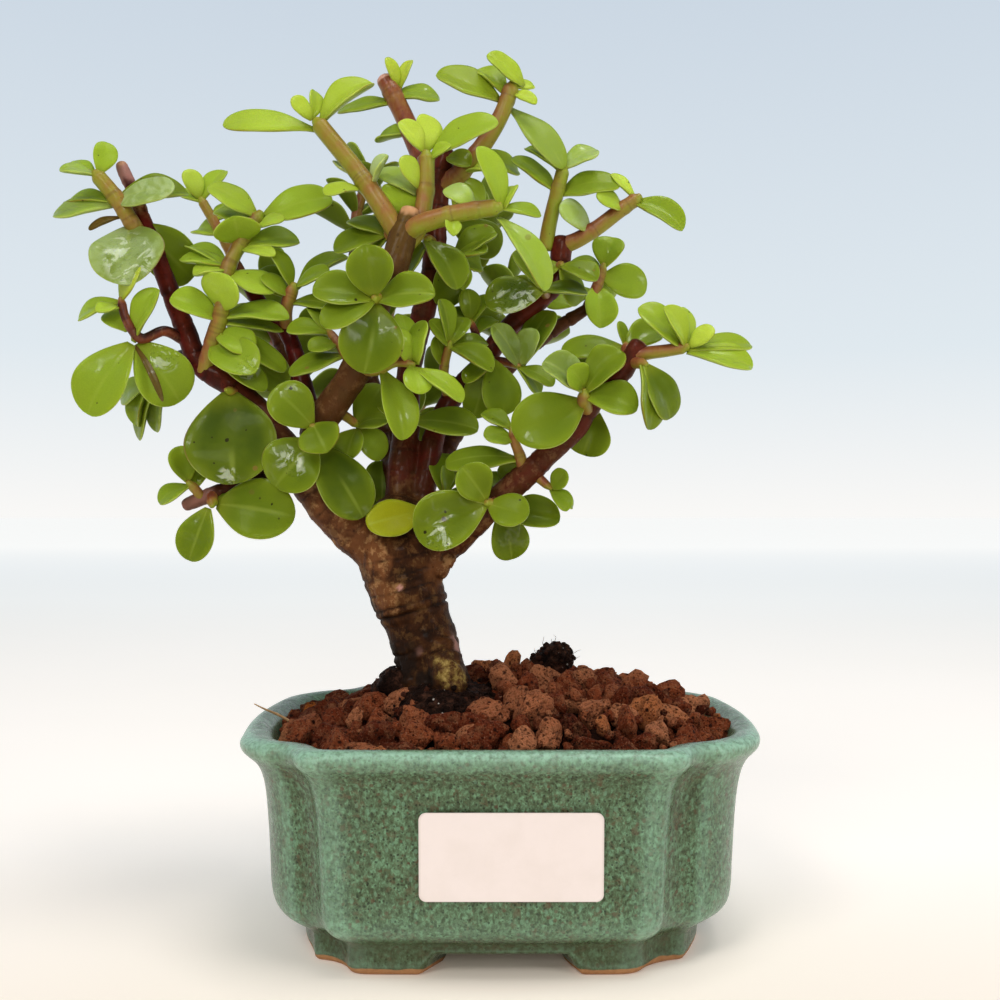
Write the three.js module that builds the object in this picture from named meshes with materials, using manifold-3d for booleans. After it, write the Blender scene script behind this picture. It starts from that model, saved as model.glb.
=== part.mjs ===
// Dwarf jade (Portulacaria afra) grown as a small bonsai in a glazed, lobed pot on four bracket feet.
// Units are millimetres and +Z is up. The pot's front panel faces -Y.
import * as THREE from "three";
import { mergeVertices } from "three/addons/utils/BufferGeometryUtils.js";
import Module from "manifold-3d";

const wasm = await Module();
wasm.setup();

// ---- Driving dimensions ----
const fitGap = 0.3; // clearance between two pieces that touch
const pot = {
  centreX: 0.8,
  rimTop: 50.9,
  rimFront: 50, // half depth over the lip
  rimSide: 61, // half width over the lip
  panelHalf: 41, // half width of the front panel at the lip
  notchX: 43.5, // the re-entrant corner between two lobes
  notchY: 41.5,
  lobeHalf: 36, // half length of a side lobe
  underside: 4.6,
  floorTop: 8.8,
  footInset: 12.6,
  footWall: 8,
  frontGapHalf: 17, // half the gap between the two front feet
  sideGapHalf: 11,
  drainX: 24,
  drainRadius: 5,
};
const label = {
  width: 39.3,
  height: 19.3,
  corner: 1.5,
  thickness: 0.3,
  centreX: 2.4,
  centreZ: 27.8,
  setBack: 5.38, // from the lip's front to the panel behind the label's middle
  lean: 0.077, // the front panel leans out towards the lip
};
const drainMesh = { side: 18, thickness: 1, cells: 2, bar: 2 };
const soilTop = 43.6;
const mound = { rimZ: 49.4, rise: 12.2, centreX: 4, halfX: 54, halfY: 43.5, lump: 1.3 };
const leafThickness = 2.2;
const eye = { distance: 300, height: 101 }; // the viewpoint that branch and leaf places are read from

// A point that appears u across and w up on the plane y = 0 from the viewpoint, but lies at depth y.
function seen(u, w, y) {
  const scale = (eye.distance + y) / eye.distance;
  return new THREE.Vector3(u * scale, y, eye.height + (w - eye.height) * scale);
}

// A repeatable number from 0 to 1.
function hash(n) {
  const s = Math.sin(n * 12.9898) * 43758.5453;
  return s - Math.floor(s);
}

// ---- Solids ----
function solidOf(geometry) {
  const bare = geometry.clone();
  bare.deleteAttribute("normal");
  bare.deleteAttribute("uv");
  const merged = mergeVertices(bare, 1e-4);
  return new wasm.Manifold(
    new wasm.Mesh({
      numProp: 3,
      vertProperties: new Float32Array(merged.attributes.position.array),
      triVerts: new Uint32Array(merged.index.array),
    }),
  );
}

function geometryOf(solid) {
  const mesh = solid.getMesh();
  const geometry = new THREE.BufferGeometry();
  geometry.setAttribute("position", new THREE.BufferAttribute(mesh.vertProperties, 3));
  geometry.setIndex(new THREE.BufferAttribute(mesh.triVerts, 1));
  return geometry;
}

// A closed skin over rings of equal point count. Each end closes on a point.
function loft(rings, startPoint, endPoint) {
  const sides = rings[0].length;
  const points = [startPoint, ...rings.flat(), endPoint];
  const last = points.length - 1;
  const at = (ring, i) => 1 + ring * sides + (i % sides);
  const triangles = [];
  for (let i = 0; i < sides; i++) {
    triangles.push(0, at(0, i + 1), at(0, i));
    triangles.push(last, at(rings.length - 1, i), at(rings.length - 1, i + 1));
    for (let r = 0; r + 1 < rings.length; r++) {
      triangles.push(at(r, i), at(r, i + 1), at(r + 1, i + 1));
      triangles.push(at(r, i), at(r + 1, i + 1), at(r + 1, i));
    }
  }
  let volume = 0;
  for (let t = 0; t < triangles.length; t += 3) {
    const [a, b, c] = [points[triangles[t]], points[triangles[t + 1]], points[triangles[t + 2]]];
    volume += a.dot(b.clone().cross(c));
  }
  if (volume < 0) triangles.reverse();
  const geometry = new THREE.BufferGeometry().setFromPoints(points);
  geometry.setIndex(triangles);
  return solidOf(geometry);
}

const middleOf = (ring) =>
  ring.reduce((sum, p) => sum.add(p), new THREE.Vector3()).divideScalar(ring.length);

const flatLoft = (rings) => loft(rings, middleOf(rings[0]), middleOf(rings[rings.length - 1]));

// A round limb through its points, with a radius for each point.
function limb(points, radii, grow = 0, sides = 7) {
  const last = points.length - 1;
  const direction = (i) =>
    points[Math.min(i + 1, last)].clone().sub(points[Math.max(i - 1, 0)]).normalize();
  const normal = new THREE.Vector3(0, 1, 0);
  if (Math.abs(direction(0).y) > 0.9) normal.set(1, 0, 0);
  const reach = (i) => (i === 0 ? -grow : i === last ? grow : 0);
  const centres = points.map((p, i) => p.clone().addScaledVector(direction(i), reach(i)));
  const rings = centres.map((centre, i) => {
    const tangent = direction(i);
    normal.addScaledVector(tangent, -normal.dot(tangent)).normalize();
    const other = tangent.clone().cross(normal);
    const radius = radii[i] + grow;
    const ring = [];
    for (let k = 0; k < sides; k++) {
      const angle = (2 * Math.PI * k) / sides;
      const p = centre.clone().addScaledVector(normal, radius * Math.cos(angle));
      ring.push(p.addScaledVector(other, radius * Math.sin(angle)));
    }
    return ring;
  });
  return loft(rings, centres[0], centres[last]);
}

const union = (solids) => solids.reduce((all, one) => all.add(one));

const largestBody = (solid) =>
  solid.decompose().reduce((best, body) => (body.volume() > best.volume() ? body : best));

// ---- Materials ----
const finish = (color, roughness, metalness = 0) =>
  new THREE.MeshStandardMaterial({ color, roughness, metalness });
const glaze = finish(0x5f9178, 0.3);
const bark = finish(0x4a2a1c, 0.8);
const leafGreen = finish(0x7fa42f, 0.35);
const peat = finish(0x1e1613, 0.95);
const lava = finish(0x6f3a26, 0.95);
const paper = finish(0xf3e6e2, 0.5);
const plastic = finish(0x23262a, 0.6);
const dryGrass = finish(0xa98458, 0.8);

const tree = new THREE.Group();

function addPiece(name, solid, material) {
  const mesh = new THREE.Mesh(geometryOf(solid), material);
  mesh.name = name;
  tree.add(mesh);
}

// ---- Pot ----
// The lobed outline, set in from the lip by an inset: quarter by quarter, anticlockwise from the front.
function potOutline(inset, z) {
  const front = pot.rimFront - inset;
  const side = pot.rimSide - 1.24 * inset;
  const panel = pot.panelHalf - 0.76 * inset;
  const notchX = pot.notchX - 0.64 * inset;
  const notchY = pot.notchY - 0.96 * inset;
  const lobe = pot.lobeHalf - 0.88 * inset;
  const path = new THREE.Path();
  path.moveTo(0, -front);
  path.lineTo(panel - 4, -front + 0.2);
  path.quadraticCurveTo(panel, -front + 0.2, panel + 0.7, -front + 4);
  path.quadraticCurveTo(notchX, -notchY, notchX + 4.5, -notchY + 1.5);
  path.quadraticCurveTo(side - 2.8, -lobe, side - 1.8, -lobe + 8);
  path.quadraticCurveTo(side - 0.2, -lobe / 2 + 4, side, 0);
  const divisions = [1, 2, 2, 3, 1];
  const quarter = [new THREE.Vector2(0, -front)];
  path.curves.forEach((curve, i) => quarter.push(...curve.getPoints(divisions[i]).slice(1)));
  const half = [...quarter, ...quarter.slice(0, -1).reverse().map((p) => new THREE.Vector2(p.x, -p.y))];
  const mirrored = half.slice(1, -1).reverse().map((p) => new THREE.Vector2(-p.x, p.y));
  return [...half, ...mirrored].map((p) => new THREE.Vector3(p.x + pot.centreX, p.y, z));
}

const box = (x0, x1, y0, y1, z0, z1) => {
  const geometry = new THREE.BoxGeometry(x1 - x0, y1 - y0, z1 - z0);
  geometry.translate((x0 + x1) / 2, (y0 + y1) / 2, (z0 + z1) / 2);
  return solidOf(geometry);
};

const uprightCylinder = (x, y, z0, z1, radius) => {
  const geometry = new THREE.CylinderGeometry(radius, radius, z1 - z0, 16);
  geometry.rotateX(Math.PI / 2);
  geometry.translate(x, y, (z0 + z1) / 2);
  return solidOf(geometry);
};

function buildPot() {
  const { centreX: x, frontGapHalf: front, sideGapHalf: side, underside } = pot;
  const beyond = 80; // past the pot on every side
  // Levels are [height, inset from the lip].
  const outside = [
    [underside, 12.4],
    [8.2, 11.8],
    [10, 8.8],
    [15, 6.6],
    [28, 5.4],
    [41, 4.6],
    [44.6, 3.4],
    [46.6, 0.6],
    [49.6, 0],
    [pot.rimTop, 1.6],
  ];
  const inside = [
    [pot.floorTop, 14.5],
    [13, 11.2],
    [42, 9.4],
    [50.2, 6.2],
    [pot.rimTop + 0.5, 5.2],
  ];
  const shell = (levels) => flatLoft(levels.map(([z, inset]) => potOutline(inset, z)));
  let body = shell(outside).subtract(shell(inside));
  let feet = shell([[0, pot.footInset], [8.4, pot.footInset - 0.6]]);
  const hollow = pot.footInset + pot.footWall;
  feet = feet.subtract(shell([[-1, hollow], [underside, hollow]]));
  feet = feet.subtract(box(x - front, x + front, -beyond, beyond, -1, underside));
  feet = feet.subtract(box(x - beyond, x + beyond, -side, side, -1, underside));
  body = body.add(feet);
  for (const hand of [-1, 1]) {
    const hole = uprightCylinder(x + hand * pot.drainX, 0, -1, pot.floorTop + 1, pot.drainRadius);
    body = body.subtract(hole);
  }
  return body;
}

// A square grid of bars that keeps the soil off a drain hole.
function buildDrainMesh(x) {
  const { side, cells, bar, thickness } = drainMesh;
  const [z0, z1] = [pot.floorTop + fitGap, pot.floorTop + fitGap + thickness];
  const pitch = (side - bar) / cells;
  const bars = [];
  for (let i = 0; i <= cells; i++) {
    const from = -side / 2 + i * pitch;
    bars.push(box(x + from, x + from + bar, -side / 2, side / 2, z0, z1));
    bars.push(box(x - side / 2, x + side / 2, from, from + bar, z0, z1));
  }
  return union(bars);
}

function buildLabel() {
  const { width, height, corner, thickness } = label;
  const [x, y] = [width / 2, height / 2];
  const card = new THREE.Shape();
  card.moveTo(-x + corner, -y);
  card.lineTo(x - corner, -y);
  card.quadraticCurveTo(x, -y, x, -y + corner);
  card.lineTo(x, y - corner);
  card.quadraticCurveTo(x, y, x - corner, y);
  card.lineTo(-x + corner, y);
  card.quadraticCurveTo(-x, y, -x, y - corner);
  card.lineTo(-x, -y + corner);
  card.quadraticCurveTo(-x, -y, -x + corner, -y);
  const geometry = new THREE.ExtrudeGeometry(card, {
    depth: thickness,
    bevelEnabled: false,
    curveSegments: 3,
  });
  geometry.rotateX(Math.PI / 2 + label.lean);
  geometry.translate(label.centreX, -pot.rimFront + label.setBack - fitGap, label.centreZ);
  return geometry;
}

// ---- Soil and gravel ----
const moundHeight = (x, y) => {
  const fall = ((x - mound.centreX) / mound.halfX) ** 2 + (y / mound.halfY) ** 2;
  return mound.rimZ + mound.rise * Math.max(0, 1 - fall);
};

function ringRound(x, y, z, radius, seed) {
  const sides = 14;
  const ring = [];
  for (let k = 0; k < sides; k++) {
    const angle = (2 * Math.PI * k) / sides;
    const r = radius + 0.8 * (hash(k * 7 + seed) - 0.5);
    ring.push(new THREE.Vector3(x + r * Math.cos(angle), y + r * Math.sin(angle), z));
  }
  return ring;
}

// The heap of black peat that the trunk stands in, up through the gravel.
const peatHeap = (grow) =>
  flatLoft([
    ringRound(-14, -8, soilTop - 1, 17 + grow, 1),
    ringRound(-13, -11, 52, 13.5 + grow, 2),
    ringRound(-13.5, -10, 57, 10.5 + grow, 3),
    ringRound(-15.5, -6, 60.4 + grow, 8.5 + grow, 4),
  ]);

function soilBlock() {
  const block = flatLoft([
    potOutline(14.9, pot.floorTop + drainMesh.thickness + 2 * fitGap),
    potOutline(11.6, 13.4),
    potOutline(9.9, soilTop),
  ]);
  return block.add(peatHeap(0));
}

function gravelBed() {
  const edge = [potOutline(9.9, soilTop + fitGap), potOutline(8.1, 46.8), potOutline(6.8, 50.2)];
  const rings = [...edge];
  const spread = [0.88, 0.72, 0.55, 0.38, 0.2];
  spread.forEach((share, row) => {
    rings.push(
      edge[2].map((p, i) => {
        const [x, y] = [pot.centreX + (p.x - pot.centreX) * share, p.y * share];
        const lump = mound.lump * (2 * hash(row * 53 + i * 3.7) - 1);
        return new THREE.Vector3(x, y, moundHeight(x, y) + lump);
      }),
    );
  });
  return flatLoft(rings);
}

function clodSolid(grow) {
  const centre = seen(13.2, 63.2, 8);
  const geometry = new THREE.IcosahedronGeometry(5.2, 1);
  const position = geometry.attributes.position;
  const p = new THREE.Vector3();
  for (let i = 0; i < position.count; i++) {
    p.fromBufferAttribute(position, i);
    const bump = 1 + 0.16 * Math.sin(1.3 * p.x + 2.1) * Math.cos(1.1 * p.z + 0.7);
    p.multiplyScalar(bump);
    p.setLength(p.length() + 1.1 * grow);
    position.setXYZ(i, p.x, p.y, p.z);
  }
  geometry.translate(centre.x, centre.y, centre.z);
  return solidOf(geometry);
}

const straw = {
  points: [[-61.3, 53.1, -22], [-56, 50.6, -18], [-51, 47.2, -15]],
  radii: [0.3, 0.45, 0.45],
  sides: 5,
};
const strawSolid = (grow) => limb(straw.points.map((p) => seen(...p)), straw.radii, grow, straw.sides);

// ---- Trunk and branches, grown as one piece ----
// Each limb: points as [u, w, y] from the viewpoint, and a radius for each.
const limbs = {
  trunk: {
    points: [
      [-14, 44, -4], [-16, 54, -5], [-17.4, 63, -5], [-19, 69, -5],
      [-21, 75, -4.5], [-24.5, 85, -4], [-25.5, 94, -3], [-25, 101, -2],
    ],
    radii: [8.5, 9.6, 8.3, 8.1, 8.5, 9.6, 9.4, 6.5],
    sides: 12,
  },
  leftLimb: {
    points: [
      [-26, 87, -4], [-34, 95, -4], [-42, 102, -5], [-50, 112, -6],
      [-56, 119, -7], [-62, 127.5, -6], [-67, 132.5, -5], [-75, 138, -4],
      [-78.5, 146, -3], [-84, 160, -2], [-88.5, 172, -1], [-91, 179, 0],
      [-95, 188, 0],
    ],
    radii: [5, 6.4, 5.6, 4.8, 4.2, 3.4, 3.1, 2.8, 2.6, 2.3, 2, 1.8, 1.6],
  },
  frontLimb: {
    points: [
      [-47, 112, -6], [-45.5, 121, -9], [-36, 137, -14], [-30, 156, -16],
      [-26.5, 163, -16], [-24, 171, -15], [-22.5, 176, -15],
    ],
    radii: [4, 3.9, 3.7, 3.6, 3.5, 3.4, 2.6],
  },
  leftStem: {
    points: [
      [-25, 97, -2], [-24.7, 110, 1], [-23.5, 122, 3], [-22.5, 138, 4],
      [-20, 148, 4], [-17, 160, 3], [-16, 178, 3], [-13.5, 191, 3],
    ],
    radii: [4.4, 3.7, 3.4, 3.1, 2.9, 2.8, 2.6, 2.2],
  },
  rightStem: {
    points: [
      [-21, 97, -1], [-18.4, 110, 1], [-15.8, 122, 3], [-11, 131, 4],
      [-4.5, 138, 4], [1, 146, 4], [10, 154, 5], [13.8, 158, 5.5],
      [15.5, 168.5, 6],
    ],
    radii: [3.6, 2.9, 2.8, 2.7, 2.6, 2.5, 2.5, 2.5, 2.9],
  },
  rightLimb: {
    points: [
      [-20, 87, -4], [-11, 94, -6], [-4, 100.5, -9], [2, 106.5, -11],
      [8, 111.5, -13], [12, 115.5, -14], [20, 123, -16], [22.5, 127, -17],
      [30, 135.5, -19], [34.7, 142.5, -20],
    ],
    radii: [4, 3.6, 3.2, 3.2, 3, 2.8, 2.5, 2.3, 2.6, 2.4],
  },
  redBranch: {
    points: [
      [-45.5, 121, -9], [-49.5, 134, -5], [-51, 140, -3], [-54, 147, -2],
      [-59, 152, -2], [-63, 157.5, -2],
    ],
    radii: [2.6, 2.2, 2.2, 2.1, 2, 1.7],
  },
  lowLeftBranch: {
    points: [
      [-51, 112.5, -6], [-59, 110, -7], [-69, 106.5, -8], [-78.5, 102.8, -8.5],
    ],
    radii: [2, 1.7, 2, 1.7],
  },
  stub: {
    points: [
      [-20, 84, -5], [-15, 87.5, -8], [-11.5, 89.5, -9],
    ],
    radii: [4, 2.8, 1],
  },
  backLeft: {
    points: [
      [-47, 110, -5], [-48, 125, 10], [-54, 142, 18], [-61, 154, 20],
      [-66.5, 163.5, 20],
    ],
    radii: [3, 2.6, 2.2, 1.8, 1.6],
  },
  backMiddle: {
    points: [
      [-25, 106, 0], [-29, 122, 13], [-34, 140, 23], [-37, 156, 27],
      [-36, 168, 28],
    ],
    radii: [3, 2.6, 2.3, 2, 1.7],
  },
  backRight: {
    points: [
      [-18.6, 108, 1], [-9, 124, 13], [3, 138, 21], [14, 147, 24],
      [23, 152.5, 24],
    ],
    radii: [2.8, 2.4, 2.1, 1.9, 1.6],
  },
};
// Short roots in the soil, as [x, y, z].
const roots = [
  [[-14, -4, 46], [-26, -14, 38], [-38, -18, 30]],
  [[-14, -4, 46], [2, -16, 38], [16, -22, 30]],
  [[-14, -4, 46], [-24, 12, 38], [-34, 18, 30]],
  [[-14, -4, 46], [2, 10, 37], [18, 16, 29]],
];

const rootRadii = [5, 2.6, 0.8];

function trunkSolid(grow) {
  const pieces = Object.values(limbs).map(({ points, radii, sides }) =>
    limb(points.map((p) => seen(...p)), radii, grow, sides),
  );
  const rootPieces = roots.map((points) =>
    limb(points.map((p) => new THREE.Vector3(...p)), rootRadii, grow, 6),
  );
  return union([...pieces, ...rootPieces]);
}

// ---- Shoots: a twig and the leaves it carries, one piece each ----
// Stem points are [u, w, y]. A leaf is [base u, base w, tip u, tip w, depth from base to tip, width, roll]:
// roll 0 shows the leaf's face to the viewpoint, 90 turns that face to the sky.
const shoots = {
  crown_left: {
    stem: [[-26, 168, -16], [-27.5, 174, -15], [-33, 182.5, -13], [-46, 199, -11]],
    radii: [2.5, 2.5, 2.3, 2.1],
    leaves: [
      [-47, 198.5, -69.5, 199, 2, 12, 62],
      [-45.5, 199, -32.3, 208.5, 3, 10, 62],
      [-46.5, 199, -52.5, 205, -3, 5, 55],
      [-46, 199.5, -44.5, 207, 3, 5, 50],
      [-33.5, 182.8, -41.5, 182.2, -6, 7, 68],
      [-32.5, 183, -28.7, 190.8, -3, 6, 80],
      [-34, 184.5, -40.5, 189.5, 8, 7, 60],
    ],
  },
  crown_middle: {
    stem: [[-24.5, 167, -15], [-21, 171, -14], [-18.8, 180, -13], [-18.5, 191, -12]],
    radii: [2.2, 2.2, 2.1, 2],
    leaves: [
      [-18, 191, -1.2, 199.5, -2, 10, 58],
      [-18.5, 191, -25.5, 198, -2, 6, 40],
      [-18.3, 191, -15.5, 200.3, 3, 6, 35],
      [-19.3, 182, -24.5, 190, -5, 7, 60],
      [-19.3, 179.5, -29, 180.5, -6, 9, 62],
      [-17.8, 189.5, -12.5, 193.2, -3, 4, 50],
      [-19.3, 180.5, -31.5, 186.5, 6, 8, 60],
    ],
  },
  front_bough: {
    stem: [[-24.5, 170, -15], [-21, 172.5, -17], [-12, 175.5, -19], [0, 177.5, -20]],
    radii: [2.4, 2.4, 2.2, 2],
    leaves: [
      [1, 177, -5, 193, -3, 9, 55],
      [0.5, 177, 13, 157.5, -4, 11, 58],
      [-13, 175, -11.5, 170.5, -3, 4, 30],
      [0.8, 177.5, 3.5, 183.2, 3, 5, 60],
      [0.5, 177.5, 10.5, 176, 4, 5, 50],
    ],
  },
  crown_high: {
    stem: [[-15, 182, 3], [-10, 186, 1], [-5, 192, 0], [0, 200, -1], [3.3, 208.5, -1]],
    radii: [2.4, 2.4, 2.3, 2.1, 1.9],
    leaves: [
      [1.5, 205, -15.5, 211, -1, 11, 62],
      [2.5, 206.5, -5.5, 212.5, 4, 6, 55],
      [3, 208, -3.8, 216.3, -2, 9, 40],
      [3.3, 208, 8.6, 208.3, 3, 4, 40],
      [2.8, 206.5, 9.2, 203.7, -2, 4, 40],
      [-6, 190.5, 5, 187, 9, 8, 45],
      [-9.5, 186.5, -2, 187.5, -5, 5, 60],
      [-11, 185, -4, 177.5, 5, 8, 50],
      [-12, 184.5, -8, 176, 9, 8, 20],
    ],
  },
  crown_back: {
    stem: [[-16.5, 182, 5], [-21, 193, 12], [-24, 200, 13], [-26, 205, 13.5], [-29.5, 209.8, 14]],
    radii: [2.4, 2.3, 2.1, 1.9, 1.7],
    leaves: [
      [-28, 208, -28.2, 215.8, -2, 5, 20],
      [-28, 208, -22, 214.8, 2, 5, 30],
      [-26.5, 206, -15, 205.5, 2, 9, 60],
      [-26, 204.5, -41, 202, 4, 8, 65],
      [-22.5, 196.5, -31, 194.5, 6, 7, 66],
    ],
  },
  crown_right: {
    stem: [[14.8, 166, 6], [12, 172, 4], [14, 182, 2], [15, 187.5, 1]],
    radii: [2, 1.9, 1.8, 1.7],
    leaves: [
      [15, 187, 3.5, 203.5, -3, 11, 50],
      [15, 187.5, 6.5, 193, 4, 6, 65],
      [15.3, 187.5, 24, 193, 3, 9, 60],
      [14, 182, 3.5, 190.5, 3, 8, 62],
      [14.3, 181.5, 30, 182, -1, 10, 60],
    ],
  },
  right_upper: {
    stem: [[15, 167.5, 6], [19, 169, 4.5], [24, 172, 3.5], [30, 176.5, 2.5], [35, 180, 2]],
    radii: [2.3, 2.1, 2, 1.9, 1.7],
    leaves: [
      [34, 179, 46.3, 172, -3, 8, 50],
      [34, 179.8, 28, 186, 1, 4, 55],
      [31, 177.5, 24.5, 180.5, -5, 7, 45],
      [23, 171.5, 15.5, 178.5, -4, 7, 58],
    ],
  },
  right_knob: {
    stem: [[14.3, 162, 5.5], [15.5, 163, 0]],
    radii: [1.3, 1.1],
    leaves: [
      [15.5, 163, 24.5, 159.5, -3, 8, 52],
      [15.5, 162.5, 20, 153, 4, 8, 45],
      [15, 163, 7, 159.5, 3, 7, 40],
    ],
  },
  far_left_tip: {
    stem: [[-88.8, 172.5, -1], [-94, 173.5, -4], [-97, 178.5, -5], [-101.5, 186, -6]],
    radii: [2.1, 2, 2, 1.9],
    leaves: [
      [-101.5, 186, -110.5, 187.2, -3, 6, 72],
      [-101, 186, -97, 193, 3, 6, 40],
      [-101.5, 186.3, -107, 189.6, 4, 4, 60],
      [-96.8, 179, -82, 182.8, -4, 11, 58],
      [-96.5, 179.5, -78.2, 182, 7, 10, 50],
      [-97.5, 178.5, -112.3, 176, 0, 9, 64],
      [-97.5, 179.5, -109, 179, 6, 7, 66],
      [-95.5, 175.5, -103.3, 172.3, -3, 3, 50],
      [-93.5, 173.5, -93.5, 159, -11, 18, 8],
      [-91.5, 173, -77, 159, 8, 13, 15],
    ],
  },
  far_left_low: {
    stem: [[-79, 144, -3], [-85, 145.5, -8], [-91, 143.5, -11], [-94.8, 149, -12], [-95.5, 154.5, -12]],
    radii: [1.6, 1.5, 1.5, 1.4, 1.4],
    leaves: [
      [-95.5, 154, -90.5, 164.5, -1, 7, 50],
      [-95.5, 154.3, -106.2, 149.8, 2, 6, 68],
      [-95.3, 152.5, -101, 151.5, -4, 5, 60],
      [-92.5, 144.5, -86.5, 157.5, -2, 8, 38],
      [-92, 143.8, -101, 125.5, -2, 13, 22],
      [-90.5, 143.5, -80, 128.5, 3, 14, 20],
      [-91.5, 143, -84.5, 129, -5, 2.4, 20],
      [-94, 147, -98.5, 152, 5, 6, 20],
    ],
  },
  far_left_hanging: {
    stem: [[-77, 141, -3], [-83, 139, 3], [-88, 134.5, 6]],
    radii: [1.4, 1.2, 1],
    leaves: [
      [-88, 134.5, -95.5, 129, 2, 8, 50],
      [-88, 134, -91.5, 122.5, 1, 8, 60],
      [-86.5, 135.5, -91.5, 119.2, 5, 9, 66],
      [-84, 138, -87, 121, 4, 8, 55],
    ],
  },
  left_fork: {
    stem: [
      [-74, 136.5, -5], [-71.5, 145, -7], [-70, 150, -8],
      [-68.5, 161, -7], [-65.5, 167.5, -6], [-60, 176, -6],
    ],
    radii: [2.2, 2, 1.9, 1.8, 1.8, 1.6],
    leaves: [
      [-60.5, 175.5, -72.8, 183.5, -2, 9, 62],
      [-60, 175.5, -43, 179.5, 1, 12, 42],
      [-61.5, 173.5, -71.5, 170, -7, 9, 45],
      [-61.5, 173.5, -71, 177.5, 7, 8, 50],
      [-61.5, 173, -54.3, 175, -3, 6, 65],
      [-64.8, 168.5, -50.2, 169.5, 4, 9, 58],
      [-65.2, 167.5, -56.5, 166, -4, 5, 60],
      [-68, 163, -80, 165, 2, 8, 75],
      [-68, 162.5, -78, 168, 7, 7, 70],
      [-68, 162, -77, 161, -3, 7, 72],
      [-68.5, 161, -56.3, 156.5, -2, 9, 58],
      [-70, 150, -78, 162.5, 3, 9, 45],
      [-70, 150.5, -53, 150.5, -2, 8, 62],
      [-70, 149, -53.8, 147.3, 4, 6, 72],
      [-70.3, 149.5, -82.5, 155, -3, 9, 55],
      [-71.3, 146.5, -62, 142, -5, 8, 40],
      [-72, 144, -61.5, 136.5, -9, 11, 35],
      [-72, 143.5, -58.5, 132, -4, 8, 50],
      [-71.2, 147.5, -53.5, 136.7, 0, 8, 62],
      [-71.5, 145, -52.5, 133, 8, 11, 25],
    ],
  },
  left_inner: {
    stem: [[-53.5, 146, -2], [-53.5, 152, -5], [-51.5, 158, -6]],
    radii: [1.7, 1.6, 1.5],
    leaves: [
      [-51.8, 157.5, -56.5, 167, -1, 6, 68],
      [-51.3, 157.8, -43, 162, -3, 7, 65],
      [-51.3, 158, -38.5, 166, 6, 8, 60],
      [-52.3, 155.5, -59.5, 160.5, -3, 6, 62],
      [-52.5, 155, -61, 161.5, 5, 8, 30],
      [-52.7, 154, -42, 153, -2, 6, 62],
    ],
  },
  rosette: {
    stem: [[-30, 154.5, -16], [-31.5, 154.5, -22.5]],
    radii: [1.6, 1.4],
    leaves: [
      [-31.6, 155, -33.5, 168, -4, 11, 10],
      [-32, 154.8, -47, 157, -3, 10, 40],
      [-31.8, 154.3, -44.5, 148, -6, 9, 38],
      [-31, 154.6, -16.5, 156, -4, 10, 35],
      [-31.3, 153.5, -34, 135.9, -3, 15, 10],
    ],
  },
  middle_left: {
    stem: [[-36.5, 136, -14], [-39, 141, -12], [-43, 146.5, -10]],
    radii: [1.3, 1.2, 1],
    leaves: [
      [-43, 146.5, -53.5, 147.3, -1, 7, 62],
      [-41, 143.5, -47.7, 142, -5, 6, 50],
      [-39, 140.8, -53, 136, -3, 8, 65],
      [-43, 146.5, -46, 154, 6, 7, 40],
    ],
  },
  stub_left: {
    stem: [[-25, 167.5, -15], [-28.5, 171, -10]],
    radii: [1.4, 1.2],
    leaves: [
      [-28.5, 171, -41.9, 167, 0, 10, 58],
      [-28.5, 171.3, -37.8, 175, 3, 8, 66],
      [-28.3, 170.8, -35, 164.5, 5, 8, 40],
    ],
  },
  centre_high: {
    stem: [[-16.7, 167, 3], [-17.5, 169, -5], [-18.5, 169.5, -9]],
    radii: [1.5, 1.3, 1.2],
    leaves: [
      [-18.5, 169.5, -10.3, 157.3, -3, 10, 48],
      [-18.5, 169, -24.5, 159.5, 3, 7, 50],
    ],
  },
  centre_right: {
    stem: [[-16.3, 163, 3], [-12, 165, -1]],
    radii: [1.4, 1.2],
    leaves: [
      [-12, 165, -1, 171.5, -2, 9, 55],
      [-12, 165, -3.5, 167, -6, 7, 66],
      [-12, 164.5, -4.5, 163, 5, 8, 40],
      [-12.5, 164.5, -9, 157, -4, 6, 40],
      [-13.5, 164, -13.5, 152, 2, 9, 30],
    ],
  },
  middle_twig: {
    stem: [[-13, 129, 4], [-14, 137, -3], [-12.5, 143.5, -7]],
    radii: [1.3, 1.2, 1],
    leaves: [
      [-12.5, 143.5, -14.5, 154.5, -2, 6, 65],
      [-12.3, 143, -1.7, 137, -3, 8, 60],
      [-12.5, 142.5, -17.5, 149, -4, 5, 50],
      [-12.5, 142.5, -3, 143.5, 4, 6, 62],
      [-12.3, 143.5, -8.5, 150, 3, 5, 30],
      [-14, 137.5, -16, 145, -3, 6, 40],
    ],
  },
  purple_twig: {
    stem: [[-4.5, 138, 4], [-5.5, 144, 2], [-7.5, 149, 0]],
    radii: [1.1, 1, 0.9],
    leaves: [
      [-7.5, 149, -8, 157, -1, 6, 30],
      [-7.3, 148.8, -3, 156, 3, 5, 45],
      [-7.3, 148.5, -13, 152, 3, 5, 55],
      [-6, 146, -1, 149.5, 3, 5, 50],
    ],
  },
  front_twig: {
    stem: [[-35.5, 137, -14], [-31, 136.3, -17.5], [-26, 138.3, -19], [-21.5, 138, -20]],
    radii: [1.4, 1.2, 1, 0.9],
    leaves: [
      [-21.5, 138, -19.8, 149.2, -1, 7, 65],
      [-21.5, 137.8, -9, 129.3, -2, 7, 66],
      [-22, 137.8, -20, 130.8, -5, 7, 40],
      [-22.5, 138.3, -26, 147, -2, 6, 50],
      [-22, 138.5, -24.5, 151, 4, 7, 60],
      [-29.5, 137, -23.8, 119.3, -3, 9, 38],
    ],
  },
  low_centre: {
    stem: [[-42, 126.5, -11], [-38, 124.5, -6], [-35.5, 122.5, -4]],
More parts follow.
